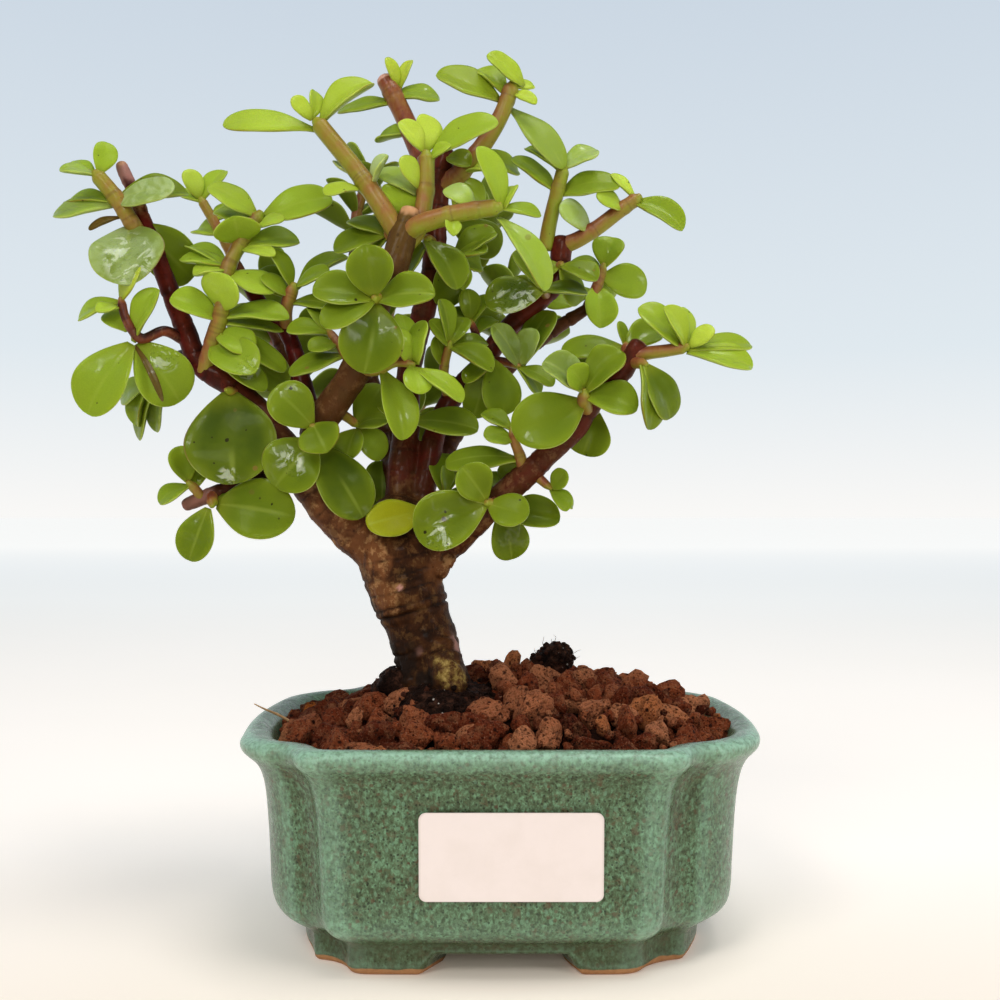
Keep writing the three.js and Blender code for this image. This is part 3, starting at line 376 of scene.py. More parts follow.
def buildMark():  # a soft-edged round mark of a given radius
    board, given, out = newGroup("mark", {"Vector": None, "Centre": (0, 0, 0), "Radius": 1.0}, ["Mask"])
    apart = board.add("VectorMath", {0: given["Vector"], 1: given["Centre"]}, operation="DISTANCE")
    share = board.math("DIVIDE", apart.outputs["Value"], given["Radius"])
    board.link(board.span(share, 1.15, 0.8), out["Mask"])
    return board.tree


specks, grain, pores, mark = buildSpecks(), buildGrain(), buildPores(), buildMark()
redSheen = (1.0, 0.75, 0.6, 1.0)


def speckMask(board, vector, scale, share, size):
    return board.group(specks, {"Vector": vector, "Scale": scale, "Share": share, "Size": size})[0]


def grainOf(board, vector, scale, fine):  # the patches and the fine grain
    return board.group(grain, {"Vector": vector, "Scale": scale, "Fine": fine})


def glazeMaterial():
    material, board, shader = newMaterial("glaze")
    place = board.place()
    run = board.stretched(place, 1, 1, 0.7)  # glaze runs down a little
    patches, fine = grainOf(board, run, 1150.0, 2600.0)
    share = board.plus(patches, board.span(fine, 0.3, 0.7, -0.06, 0.06))
    share = board.plus(share, board.span(board.noise(place, 120.0, 2.0), 0.3, 0.7, -0.03, 0.03))
    base = board.ramp(share, {
        0.33: (56, 67, 45), 0.46: (79, 98, 70), 0.55: (91, 118, 88), 0.69: (113, 152, 118),
    })
    blush = board.span(board.noise(place, 430.0, 4.0, 0.7, 0.4), 0.52, 0.66, 0, 0.6)
    base = board.mix(blush, base, (92, 76, 54))
    base = board.over(base, speckMask(board, place, 1250.0, 0.42, 0.32), 0.72, (36, 40, 28))
    base = board.over(base, speckMask(board, place, 640.0, 0.2, 0.3), 0.6, (92, 66, 48))
    base = board.over(base, speckMask(board, run, 800.0, 0.22, 0.34), 0.5, (108, 146, 118))
    # The pale ridge colour is glaze that thins over the edges, and also a painted highlight on the rim and
    # ridges.
    ridgeBreakup = board.span(board.noise(place, 1000.0, 3.0), 0.3, 0.62, 0.45, 1.0)
    base = board.over(base, board.times(board.value("ridge"), ridgeBreakup), 0.66, (164, 206, 180))
    # Painted shade: darker in the notches, under the lip and on the skirt, where the glaze also gathers.
    base = board.over(base, board.value("poolAndShade"), 0.6, (62, 66, 40))
    height = board.add("SeparateXYZ", {"Vector": place}).outputs[2]
    wavy = board.plus(height, board.times(board.noise(place, 160.0, 2.0), -0.0014))
    bare = board.span(wavy, 0.0009, 0.0006)  # the glaze stops just above the table
    clay = board.mix(board.noise(place, 700.0, 4.0), (140, 92, 56), (190, 142, 98))
    base = board.mix(bare, base, clay)
    finish = board.span(board.noise(place, 600.0, 3.0), 0.3, 0.7, 0.22, 0.36)
    finish = board.plus(finish, board.times(bare, 0.6))
    skin = board.plus(board.noise(place, 230.0, 2.0), board.times(patches, 0.3))
    links = {"Base Color": base, "Roughness": finish, "Normal": board.bump(skin, 0.0004, 0.6)}
    connect(board, shader, links, {"IOR": 1.42, "Specular IOR Level": 0.3})
    return material


# scars, pinholes and wet patches on single leaves, the wet ones with a painted reflection: across and up as
# seen on the plane y = 0, radius
leafMarks = {
    "hole": [
        (-68.3, 119.0, 0.5), (-36.1, 154.2, 0.4), (-14.0, 99.2, 0.6), (-18.7, 96.0, 0.45),
        (-52.3, 132.0, 0.45), (-15.6, 151.6, 0.4),
    ],
    "speck": [
        (-72, 119.7, 0.22), (-76.5, 118.5, 0.25), (-71.5, 113.2, 0.28), (-63.5, 121.5, 0.2),
        (-13.7, 101, 0.35), (-13, 93, 0.25), (-51.5, 104.0, 0.3), (-57.0, 103.0, 0.25), (5.0, 104.0, 0.3),
    ],
    "scab": [
        (-66.3, 126.5, 0.5), (-62, 106.0, 0.7), (7.0, 169.8, 0.8), (-14.0, 99.2, 0.9), (-47.0, 103.5, 0.7),
        (-69.0, 111.5, 0.45),
    ],
    "wet": [
        (-52.6, 113.6, 3.3), (-50.8, 111.0, 2.2), (-15.2, 94.2, 3.4), (-68.0, 109.4, 3.0),
        (-93.0, 164.5, 6.5), (-84.0, 140.0, 4.0), (-63.0, 137.0, 3.0), (4.0, 153.5, 5.5),
    ],
}


def leafMarkMasks(board, place):  # one mask for each kind of mark
    ragged = board.times(board.math("SUBTRACT", board.noise(place, 1600.0, 2.0), 0.5), 0.5)
    seenAt = board.joined(board.value("seenX"), board.value("seenZ"), 0.0)
    seenAt = board.moved(seenAt, board.joined(ragged, ragged, 0.0))
    masks = {}
    for kind, found in leafMarks.items():
        masks[kind] = 0.0
        for u, w, radius in found:
            one = board.group(mark, {"Vector": seenAt, "Centre": (u, w, 0), "Radius": radius})[0]
            masks[kind] = board.math("MAXIMUM", one, masks[kind])
    return masks


def leafColour(board, spot, masks):
    along, side, age = board.value("along"), board.value("side"), board.value("age")
    outward = board.math("ABSOLUTE", board.value("across"))
    base = board.ramp(age, {
        0.0: (192, 214, 76), 0.25: (150, 177, 48), 0.5: (112, 132, 28), 0.75: (84, 102, 15), 1.0: (56, 72, 8),
    })
    patches = board.span(board.noise(spot, 130.0, 3.0, 0.5), 0.35, 0.7, 0, 0.34)
    base = board.mix(patches, base, board.mix(0.5, base, (128, 142, 28)))
    base = board.mix(board.value("lime"), base, (164, 160, 20))
    base = board.mix(board.span(along, 0.5, 1.0, 0, 0.3), base, board.mix(0.6, base, (142, 160, 30)))
    base = board.mix(board.span(outward, 0.55, 0.97, 0, 0.5), base, board.mix(0.5, base, (150, 168, 36)))
    base = board.mix(board.span(along, 0.3, 0.0, 0, 0.6), base, (136, 146, 40))
    base = board.over(base, board.span(side, 0.15, -0.35), 0.45, (118, 136, 48))
    cell = board.cells(spot, 3200.0)
    base = board.mix(board.span(cell, 0.1, 0.7, 0.0, 0.12), base, (66, 92, 20))
    # Painted reflection of the pale sky on the faces of the leaves marked pale.
    paintedSkySheen = board.span(board.noise(spot, 130.0, 3.0, 0.6, 1.0), 0.4, 0.56, 0.4, 1.0)
    paintedSkySheen = board.times(board.value("pale"), paintedSkySheen)
    base = board.mix(paintedSkySheen, base, board.mix(cell, (164, 184, 128), (184, 200, 152)))
    fold = board.times(board.span(outward, 0.12, 0.01), board.span(side, 0.5, 0.9))
    fold = board.times(fold, board.span(board.noise(spot, 60.0, 1.0), 0.42, 0.65, 0.0, 0.2))
    base = board.mix(fold, base, (176, 190, 84))
    # The thin rim is painted rim light where it is pale, and the leaf's own red margin where it is flushed.
    flushed = board.span(board.noise(spot, 55.0, 1.0), 0.56, 0.68)
    rimLightAndRedMargin = board.mix(flushed, (196, 208, 112), (142, 84, 52))
    base = board.over(base, board.span(outward, 0.95, 1.0), 0.55, rimLightAndRedMargin)
    base = board.over(base, speckMask(board, spot, 420.0, 0.09, 0.11), 0.75, (52, 44, 20))
    base = board.over(base, speckMask(board, spot, 190.0, 0.05, 0.12), 0.7, (128, 96, 48))
    base = board.over(base, masks["scab"], 0.45, (112, 96, 44))
    base = board.over(base, board.math("MAXIMUM", masks["speck"], masks["hole"]), 0.95, (30, 18, 8))
    dried = board.mix(board.noise(spot, 700.0, 3.0), (44, 20, 12), (100, 54, 30))
    base = board.mix(board.value("dry"), base, dried)
    # Painted reflection: whitish streaks laid into the colour on the wet patches.
    paintedSheen = board.span(board.noise(spot, 150.0, 3.0, 0.6, 1.6), 0.52, 0.6, 0.0, 0.4)
    return board.mix(board.times(paintedSheen, masks["wet"]), base, (224, 232, 208))


def leafMaterial():
    material, board, shader = newMaterial("leafSkin")
    place, seed = board.place(), board.value("seed")
    spot = board.moved(place, board.joined(seed, seed, seed))
    masks = leafMarkMasks(board, place)
    wetArea = board.span(board.noise(spot, 85.0, 2.0, 0.6), 0.52, 0.6)
    wet = board.times(wetArea, board.span(board.value("side"), -0.2, 0.3))
    wet = board.math("MAXIMUM", wet, masks["wet"])
    wave = board.math("ABSOLUTE", board.math("SUBTRACT", board.noise(spot, 190.0, 2.0, 0.5, 0.8), 0.5))
    wet = board.times(wet, board.span(wave, 0.045, 0.012, 0.12, 1.0))
    ripple = board.times(board.noise(spot, 380.0, 2.0), 0.8)
    pimple = board.times(board.noise(spot, 2300.0, 2.0), 0.12)
    drops = board.times(board.span(board.cells(spot, 1300.0), 0.5, 0.1), board.times(masks["wet"], 1.6))
    height = board.plus(board.plus(ripple, pimple), drops)
    connect(board, shader, {
        "Base Color": leafColour(board, spot, masks),
        "Roughness": board.span(board.noise(spot, 900.0, 2.0), 0.3, 0.7, 0.32, 0.42),
        "Normal": board.bump(height, 0.00022, 0.55),
        "Coat Weight": board.plus(board.times(wet, 0.85), 0.04),
    }, {
        "IOR": 1.4, "Specular IOR Level": 0.22, "Specular Tint": (0.8, 1.0, 0.35, 1.0),
        "Coat Roughness": 0.06, "Coat IOR": 1.4,
        "Subsurface Weight": 0.25, "Subsurface Radius": (0.7, 1.0, 0.1), "Subsurface Scale": 0.0016,
    })
    return material


def twigMaterial():
    material, board, shader = newMaterial("twigSkin")
    place = board.place()
    patches, fine = grainOf(board, board.stretched(place, 1, 1, 0.6), 260.0, 2600.0)
    share = board.plus(board.value("flush"), board.span(patches, 0.3, 0.7, -0.1, 0.1))
    share = board.plus(share, board.span(board.value("sunny"), -0.6, 0.9, -0.2, 0.14))
    base = board.ramp(share, {
        0.0: (140, 152, 42), 0.25: (142, 128, 40), 0.45: (146, 102, 50), 0.62: (130, 66, 40),
        0.82: (70, 24, 12), 1.0: (40, 10, 6),
    })
    base = board.over(base, board.value("ring"), 0.45, (96, 58, 32))
    line = board.noise(board.stretched(place, 1, 1, 0.12), 2200.0, 2.0)
    base = board.mix(board.span(line, 0.55, 0.75, 0, 0.3), base, (160, 128, 76))
    base = board.over(base, speckMask(board, place, 900.0, 0.12, 0.16), 0.5, (72, 48, 30))
    base = board.mix(board.value("cut"), base, board.mix(fine, (176, 116, 96), (222, 178, 160)))
    finish = board.span(fine, 0.3, 0.7, 0.28, 0.46)
    height = board.plus(board.times(line, 0.5), board.times(fine, 0.5))
    links = {"Base Color": base, "Roughness": finish, "Normal": board.bump(height, 0.00018, 0.5)}
    connect(board, shader, links, {
        "IOR": 1.42, "Specular IOR Level": 0.25, "Coat Weight": 0.1, "Coat Roughness": 0.2,
        "Subsurface Weight": 0.1, "Subsurface Radius": (1.0, 0.7, 0.3), "Subsurface Scale": 0.001,
    })
    return material


def barkMaterial():
    material, board, shader = newMaterial("bark")
    place, old = board.place(), board.value("old")
    fibre = board.noise(board.stretched(place, 1, 1, 0.16), 900.0, 4.0, 0.65)
    patches, fine = grainOf(board, place, 190.0, 1900.0)
    wide = board.span(patches, 0.3, 0.7)
    young = board.mix(wide, (74, 40, 20), (48, 22, 11))
    reddish = board.mix(board.span(patches, 0.35, 0.65), (96, 24, 20), (54, 9, 9))
    young = board.mix(board.value("red"), young, reddish)
    young = board.mix(board.value("olive"), young, board.mix(wide, (108, 86, 36), (80, 56, 20)))
    aged = board.ramp(patches, {0.34: (22, 9, 4), 0.5: (46, 23, 9), 0.64: (72, 42, 18)})
    aged = board.mix(board.span(fibre, 0.56, 0.74, 0, 0.2), aged, (92, 62, 28))
    shaggy = board.span(board.noise(place, 330.0, 4.0, 0.7), 0.5, 0.64, 0, 0.45)
    aged = board.mix(shaggy, aged, (104, 72, 38))
    base = board.mix(old, young, aged)
    tan = board.times(board.value("tan"), board.span(patches, 0.36, 0.56, 0.3, 1.0))
    base = board.over(base, tan, 0.85, board.mix(board.times(shaggy, 2.0), (122, 76, 44), (180, 134, 88)))
    base = board.over(base, speckMask(board, place, 620.0, 0.2, 0.24), 0.4, (26, 13, 9))
    streak = board.span(board.noise(board.stretched(place, 1, 1, 0.1), 1700.0, 2.0), 0.6, 0.75, 0, 0.2)
    base = board.mix(board.times(streak, old), base, (118, 82, 48))
    base = board.over(base, board.value("ring"), 0.85, (17, 9, 6))
    mossTone = board.ramp(board.noise(place, 330.0, 5.0, 0.75), {
        0.38: (40, 22, 13), 0.48: (90, 62, 32), 0.56: (132, 108, 54), 0.68: (176, 152, 90),
    })
    base = board.mix(board.value("moss"), base, mossTone)
    base = board.mix(board.value("pink"), base, (186, 136, 124))
    base = board.mix(board.value("soiled"), base, board.mix(fine, (12, 8, 6), (40, 26, 19)))
    base = board.mix(board.value("cut"), base, board.mix(fibre, (176, 126, 84), (206, 160, 116)))
    finish = board.plus(board.span(fine, 0.3, 0.7, 0.34, 0.56), board.times(old, 0.16))
    flake = board.times(board.noise(board.stretched(place, 1, 1, 0.45), 700.0, 4.0, 0.65), old)
    height = board.plus(board.plus(board.times(fibre, 0.35), board.times(fine, 0.2)), flake)
    film = board.math("SUBTRACT", 0.1, board.times(old, 0.06))
    normal = board.bump(height, 0.0006, 0.6)
    connect(board, shader, {"Base Color": base, "Roughness": finish, "Normal": normal, "Coat Weight": film}, {
        "IOR": 1.4, "Specular IOR Level": 0.12, "Specular Tint": redSheen, "Coat Roughness": 0.14,
    })
    return material


def lavaMaterial():
    material, board, shader = newMaterial("lavaGravel")
    place = board.place()
    base = board.ramp(board.value("seed"), {
        0.0: (80, 29, 13), 0.35: (122, 52, 26), 0.65: (158, 80, 46), 0.95: (208, 132, 90),
        0.985: (196, 104, 38),
    })
    relief, pitShade = board.group(pores, {"Vector": place, "Scale": 1150.0})
    patches, fine = grainOf(board, place, 420.0, 2600.0)
    base = board.mix(board.span(patches, 0.45, 0.7, 0, 0.45), base, (172, 116, 80))
    base = board.mix(board.span(patches, 0.48, 0.3, 0, 0.5), base, (66, 28, 14))
    # Painted shade in the pits.
    base = board.over(base, pitShade, 0.75, (30, 12, 6))
    base = board.mix(board.span(fine, 0.55, 0.72, 0, 0.4), base, (214, 162, 128))
    base = board.mix(board.span(fine, 0.46, 0.34, 0, 0.6), base, (40, 16, 8))
    # Painted shade: dark spots in the hollows of each grain, and darker still in its pits and on the bed
    # below.
    hollowShade = board.span(board.cells(place, 520.0), 0.34, 0.14, 0, 0.9)
    base = board.mix(board.times(hollowShade, board.span(patches, 0.62, 0.45)), base, (34, 14, 8))
    base = board.mix(board.value("deep"), base, (22, 10, 6))
    crumb = board.times(board.noise(place, 2300.0, 4.0, 0.75), 0.9)
    normal = board.bump(board.plus(relief, crumb), 0.0008, 0.95)
    looks = {"Roughness": 0.85, "IOR": 1.4, "Specular IOR Level": 0.1}
    connect(board, shader, {"Base Color": base, "Normal": normal}, looks)
    return material


def peatMaterial():
    material, board, shader = newMaterial("peat")
    place = board.place()
    relief, pitShade = board.group(pores, {"Vector": place, "Scale": 1300.0})
    patches, fine = grainOf(board, place, 380.0, 2600.0)
    base = board.ramp(patches, {0.34: (14, 8, 7), 0.52: (35, 21, 16), 0.68: (72, 46, 35)})
    # Painted shade in the pores.
    base = board.over(base, pitShade, 0.6, (10, 8, 7))
    white = board.times(speckMask(board, place, 900.0, 0.1, 0.24), board.value("fleck"))
    base = board.mix(white, base, (214, 206, 196))
    base = board.over(base, board.value("brown"), 0.7, (78, 42, 30))
    damp = board.span(fine, 0.35, 0.65, 0.5, 0.9)
    links = {"Base Color": base, "Roughness": damp, "Normal": board.bump(relief, 0.0006, 0.9)}
    connect(board, shader, links, {"IOR": 1.4, "Specular IOR Level": 0.08, "Specular Tint": redSheen})
    return material


def paperMaterial():
    material, board, shader = newMaterial("labelPaper")
    patches, fine = grainOf(board, board.place(), 120.0, 3000.0)
    base = board.mix(board.span(patches, 0.35, 0.7), (243, 230, 226), (239, 226, 221))
    base = board.over(base, board.value("edge"), 0.4, (206, 190, 182))
    finish = board.span(fine, 0.3, 0.7, 0.42, 0.52)
    links = {"Base Color": base, "Roughness": finish, "Normal": board.bump(fine, 0.00004, 0.4)}
    connect(board, shader, links, {"IOR": 1.45})
    return material


def strawMaterial():
    material, board, shader = newMaterial("dryStraw")
    line = board.noise(board.stretched(board.place(), 0.3, 1, 1), 2600.0, 3.0)
    base = board.mix(line, (128, 88, 52), (206, 168, 116))
    connect(board, shader, {"Base Color": base, "Normal": board.bump(line, 0.0001, 0.5)}, {"Roughness": 0.55})
    return material


def plasticMaterial():
    material, board, shader = newMaterial("meshPlastic")
    patches, fine = grainOf(board, board.place(), 300.0, 2000.0)
    connect(board, shader, {
        "Base Color": board.mix(patches, (24, 26, 28), (44, 46, 48)),
        "Roughness": board.span(fine, 0.3, 0.7, 0.4, 0.6),
        "Normal": board.bump(fine, 0.0001, 0.4),
    }, {})
    return material


glaze, leafSkin, twigSkin, bark = glazeMaterial(), leafMaterial(), twigMaterial(), barkMaterial()
lava, peat, paper = lavaMaterial(), peatMaterial(), paperMaterial()
strawSkin, plastic = strawMaterial(), plasticMaterial()
print("materials ready")


# The pot.
pot = {
    "middle": 0.3, "front": 50.0, "side": 61.3, "panel": 41.4, "notchX": 44.2, "notchY": 41.0, "lobe": 31.5,
    "skirt": 7.6, "underside": 4.6, "floorTop": 8.8, "drainX": 24.0, "drainRadius": 5.0,
    "frontGap": 17.5, "sideGap": 11.5, "footEase": 3.6, "footWidth": 8.0,
    "unevenness": 0.16, "softening": 7, "panelShift": 1.9, "weld": 0.01,
    # each point is the height and how far it lies inside the lip
    "profile": [
        (0, 13.2), (0.12, 12.7), (0.5, 12.35), (2, 12.1), (4.5, 12.0), (6.4, 11.6), (7.4, 10.8), (8.0, 10.0),
        (8.7, 9.15), (9.5, 8.3), (10.7, 7.45), (12.4, 6.85), (15, 6.45), (20, 6.2), (26, 5.9), (32, 5.55),
        (36, 5.2), (38.5, 4.85), (40.5, 4.45), (42.2, 3.95), (43.6, 3.35), (44.8, 2.6), (45.8, 1.75),
        (46.6, 1.0), (47.3, 0.45), (48.1, 0.1), (48.9, 0.0), (49.6, 0.15), (50.2, 0.6), (50.65, 1.3),
        (50.9, 2.3), (50.85, 3.6), (50.35, 5.0), (49.2, 6.4), (47, 7.6), (44, 8.6), (40, 9.3), (30, 10.0),
        (20, 10.8), (13, 11.6), (9.8, 13.0), (8.8, 14.8),
    ],
}


def quadratic(a, b, c, count):
    t = np.linspace(0, 1, count + 1)[1:, None]
    return (1 - t) ** 2 * a + 2 * t * (1 - t) * b + t**2 * c


def potOutline(inset):  # the lobed outline, anticlockwise from the middle of the front
    front, side = pot["front"] - inset, pot["side"] - 0.92 * inset - 0.55 * max(0, inset - 8)
    panel, lobe = pot["panel"] - 0.76 * inset, pot["lobe"] - 0.88 * inset
    notchX, notchY = pot["notchX"] - 0.64 * inset, pot["notchY"] - 0.96 * inset
    knots = np.array([
        (0, -front), (panel - 4, -front + 0.2), (panel, -front + 0.2), (panel + 0.7, -front + 4),
        (notchX, -notchY), (notchX + 5, -notchY + 0.6), (side - 5.2, -lobe - 4.5), (side - 2.4, -lobe + 3.5),
        (side - 0.1, -lobe * 0.45), (side, 0),
    ])
    straight = knots[0] + (knots[1] - knots[0]) * np.linspace(0, 1, 41)[:, None]
    bends = [quadratic(*knots[k:k + 3], count) for k, count in ((1, 10), (3, 16), (5, 22), (7, 28))]
    quarter = np.concatenate([straight, *bends])
    half = np.concatenate([quarter, quarter[-2::-1] * (1, -1)])
    whole = np.concatenate([half, half[-2:0:-1] * (-1, 1)])
    for _ in range(pot["softening"]):  # thrown clay has no sharp corners
        whole = 0.25 * np.roll(whole, 1, axis=0) + 0.5 * whole + 0.25 * np.roll(whole, -1, axis=0)
    whole[:, 0] -= pot["panelShift"] * smoothStep(22, 42, -whole[:, 1])  # the front panel sits to the left
    return whole + (pot["middle"], 0)


def bendOf(points, axis, reach):  # how far a point stands out from the middle of its neighbours
    before, after = np.roll(points, reach, axis=axis), np.roll(points, -reach, axis=axis)
    return points - (before + after) / 2


def footGap(x, y):  # 1 in the gaps between the feet, 0 at a foot
    front, side, ease = pot["frontGap"], pot["sideGap"], pot["footEase"]
    across = 1 - smoothStep(front - ease, front + 0.4, np.abs(x))
    return np.maximum(across, 1 - smoothStep(side - ease, side + 0.4, np.abs(y)))


def glazeValues(points, outward, heights):  # lighter over an edge, where the glaze thins and a highlight is painted, and darker in hollows and on the skirt, where it gathers and shade is painted
    ridge = np.clip((bendOf(points, 1, 3) * outward).sum(-1) * 4.4, -1, 1) * 0.42
    lip = np.clip((bendOf(points, 0, 4) * outward).sum(-1) * 1.5, -1, 1)
    lip[:4], lip[-4:] = 0, 0
    lip *= 0.45 + 0.55 * smoothStep(14, 30, heights)
    nose = smoothStep(36, 44, heights) * smoothStep(50.4, 47.8, heights)
    # painted highlight on convex edges, partly glaze that thins there
    edge = np.maximum(ridge, 0) + (1 - 0.6 * nose) * np.maximum(lip, 0)
    foot = smoothStep(9.6, pot["skirt"], heights)
    # painted shade in the notches, under the lip and on the skirt, partly glaze that gathers there
    hollowShade = 0.7 * np.maximum(-ridge, 0) + 0.35 * np.maximum(-lip, 0) + 0.85 * foot
    return {"ridge": np.clip(edge, 0, 1).reshape(-1), "poolAndShade": np.clip(hollowShade, 0, 1).reshape(-1)}


def buildPot():
    profile = np.array(pot["profile"], float)
    line, _, _ = smoothPath(np.column_stack([profile, profile[:, 0] * 0]), np.ones(len(profile)), 0.62)
    levels = line[:, :2]
    outlines = np.array([potOutline(inset) for _, inset in levels])
    x, y = outlines[..., 0] - pot["middle"], outlines[..., 1]
    heights = np.repeat(levels[:, :1], outlines.shape[1], axis=1)
    # the skirt's lower edge is on the table at a foot and raised between the feet
    lifted = pot["underside"] * footGap(x[0], y[0])
    outside = np.arange(len(levels)) < np.argmax(levels[:, 0])
    skirt = outside[:, None] & (heights < pot["skirt"])
    heights = np.where(skirt, lifted + (pot["skirt"] - lifted) * heights / pot["skirt"], heights)
    points = np.stack([outlines[..., 0], outlines[..., 1], heights], -1)
    outward = np.stack([x, y * 1.3, x * 0], -1)
    outward /= np.linalg.norm(outward, axis=-1, keepdims=True)
    uneven = pot["unevenness"] * rough(points.reshape(-1, 3), 14, 5, 2).reshape(x.shape)
    points = points + outward * (uneven * smoothStep(0.5, 9, heights))[..., None]
    shell = openSkin(points)
    shell["values"] = glazeValues(points, outward, heights)
    return [shell, *potBase(points[0], lifted, points[-1])]


def flatFace(loops, height, down):  # a level face with the drain holes cut out
    loops = [np.column_stack([loop, np.full(len(loop), height)]) for loop in loops]
    tris = np.array(tessellate_polygon([[tuple(p) for p in loop] for loop in loops]))
    verts = np.concatenate(loops)
    a, b, c = (verts[tris[:, k]] for k in range(3))
    up = np.cross(b - a, c - a)[:, 2] > 0
    tris[up == down] = tris[up == down][:, ::-1]
    return {**noFaces, "verts": verts, "tris": tris, "values": {}}


def potBase(bottom, lifted, floorEdge):  # the feet's inner face, the underside, drain holes and floor
    underside, floorTop, radius = pot["underside"], pot["floorTop"], pot["drainRadius"]
    inner = [potOutline(pot["footWidth"] + inset) for inset in (12.4, 12.9, 13.3)]
    heights = [lifted, lifted + (underside - lifted) * 0.9, lifted * 0 + underside]
    rings = [bottom] + [np.column_stack([ring, height]) for ring, height in zip(inner, heights)]
    parts = [openSkin(np.array(rings[::-1]))]
    angle = turnsOf(40)
    circles = [
        (pot["middle"] + hand * pot["drainX"], 0) + radius * np.column_stack([np.cos(angle), np.sin(angle)])
        for hand in (-1, 1)
    ]
    parts.append(flatFace([inner[-1], *circles], underside, True))
    parts.append(flatFace([floorEdge[:, :2], *circles], floorTop, False))
    for circle in circles:
        rings = [np.column_stack([circle, np.full(len(circle), z)]) for z in (floorTop, 6.7, underside)]
        parts.append(openSkin(np.array(rings)))
    return parts


potPiece = addPiece("glazedPot", buildPot(), [glaze], "pot")
weld = potPiece.modifiers.new("weld", "WELD")
weld.merge_threshold = pot["weld"] / 1000
print("pot ready")


# The drain meshes under the soil.
drain = {"side": 17.6, "bars": 9, "bar": 0.8, "low": 9.15, "thick": 0.9, "sunk": 0.05, "soft": 0.12}


def bevelledBar(low, high):  # a straight bar with softened edges
    low, high = np.array(low, float), np.array(high, float)
    middle, half = (low + high) / 2, (high - low) / 2
    near = 1 - drain["soft"]
    corners = np.array([
        (1, near), (near, 1), (-near, 1), (-1, near), (-1, -near), (-near, -1), (near, -1), (1, -near),
    ])
    axis = int(np.argmax(half))
    a, b = [k for k in range(3) if k != axis]
    rings = np.tile(middle, (2, len(corners), 1))
    rings[..., axis] += half[axis] * np.array([[-1], [1]])
    rings[..., a] += corners[:, 0] * half[a]
    rings[..., b] += corners[:, 1] * half[b]
    part = closedSkin(rings, rings[0].mean(0), rings[1].mean(0))
    first = part["verts"][part["tris"][0]]
    inward = np.dot(np.cross(first[1] - first[0], first[2] - first[0]), first.mean(0) - middle) < 0
    if inward:
        part["quads"], part["tris"] = part["quads"][:, ::-1], part["tris"][:, ::-1]
    return part


def drainBars(hand):
    x, reach, half = pot["middle"] + hand * pot["drainX"], drain["side"] / 2, drain["bar"] / 2
    low, high, sunk = drain["low"], drain["low"] + drain["thick"], drain["sunk"]
    bars = []
    for offset in np.linspace(half - reach, reach - half, drain["bars"]):
        bars.append(bevelledBar((x + offset - half, -reach, low), (x + offset + half, reach, high)))
        corner = (x + reach, offset + half, high - sunk)
        bars.append(bevelledBar((x - reach, offset - half, low + sunk), corner))
    return bars


for hand, side in ((-1, "left"), (1, "right")):
    addPiece("drainMesh" + side.title(), drainBars(hand), [plastic], "drain_mesh_" + side)
print("drain meshes ready")


# The label, left blank.
label = {
    "width": 39.3, "height": 19.3, "corner": 1.6, "thick": 0.16, "place": (2.4, -44.95, 27.8),
    "lean": 0.077, "bow": 0.05,
    # rings from the middle of the back to the middle of the face: share of the outline and of the thickness
    "rings": [
        (0.001, 0), (0.5, 0), (0.9, 0), (1.0, 0.02), (1.0, 0.98), (0.994, 1), (0.97, 1), (0.8, 1), (0.5, 1),
        (0.001, 1),
    ],
}


def buildLabel():
    half = np.array([label["width"], label["height"]]) / 2
    corner, angle = label["corner"], np.linspace(0, np.pi / 2, 9)
    arcs = []
    for turn, hand in enumerate(((1, 1), (-1, 1), (-1, -1), (1, -1))):
        bend = angle + turn * np.pi / 2
        arcs.append(hand * (half - corner) + corner * np.column_stack([np.cos(bend), np.sin(bend)]))
    outline = np.concatenate(arcs)
    rings, edge = [], []
    for share, lift in label["rings"]:
        x, up = (outline * share).T
        y = label["bow"] * (x / half[0]) ** 2 - label["thick"] * lift - up * math.sin(label["lean"])
        rings.append(np.column_stack([x, y, up * math.cos(label["lean"])]) + label["place"])
        edge.append(np.full(len(outline), float(share > 0.99)))
    part = closedSkin(np.array(rings), rings[0].mean(0), rings[-1].mean(0))
    part["values"]["edge"] = np.concatenate([*edge, [0, 0]])
    return part


addPiece("blankLabel", [buildLabel()], [paper], "label")
print("label ready")


# The gravel, the peat, the clod and the straw.
mound = {"rimZ": 49.4, "rise": 12.2, "x": 4.0, "halfX": 54.0, "halfY": 43.5}
bed = {"drop": 5.2, "edge": 44.2, "under": 43.9, "lumps": 1.3}
heap = {
    "x": -11.8, "y": -12.5, "sides": 170, "roots": 26,
    "crumbs": 620, "crumb": 1.15, "scatter": (1.6, 1.6, 0.25),
    # the height and how far the heap reaches there
    "levels": [(43, 20.5), (48, 17.8), (51.5, 15.8), (54.5, 13.9), (57.0, 11.6), (58.8, 9.4), (59.6, 5.0)],
    # soil heaped against the foot of the trunk: place and reach
    "lumps": [((-25.8, 58.0, -8), 4.5), ((-28.8, 56.6, -7), 3.0)],
}
stones = {
    "sizes": (4.0, 3.4, 2.85, 2.4, 2.0, 1.6, 1.25, 1.0), "tries": 3600, "seed": 4, "inset": 7.6,
    "area": (58, 46), "rusty": 0, "facets": 9, "lumpy": 0.09, "crumbly": 0.13, "pitted": 0.15, "sunk": 0.42,
    # the patch at the trunk that the top layer leaves free: its middle and its half sizes
    "free": (-10.8, -13.6, 10.6, 12.4),
    # how far a layer lies below the mound, how close its stones are, and its smallest stone
    "layers": [(0.0, 0.86, 1.0), (4.6, 0.98, 2.6), (9.0, 1.05, 3.0)],
}
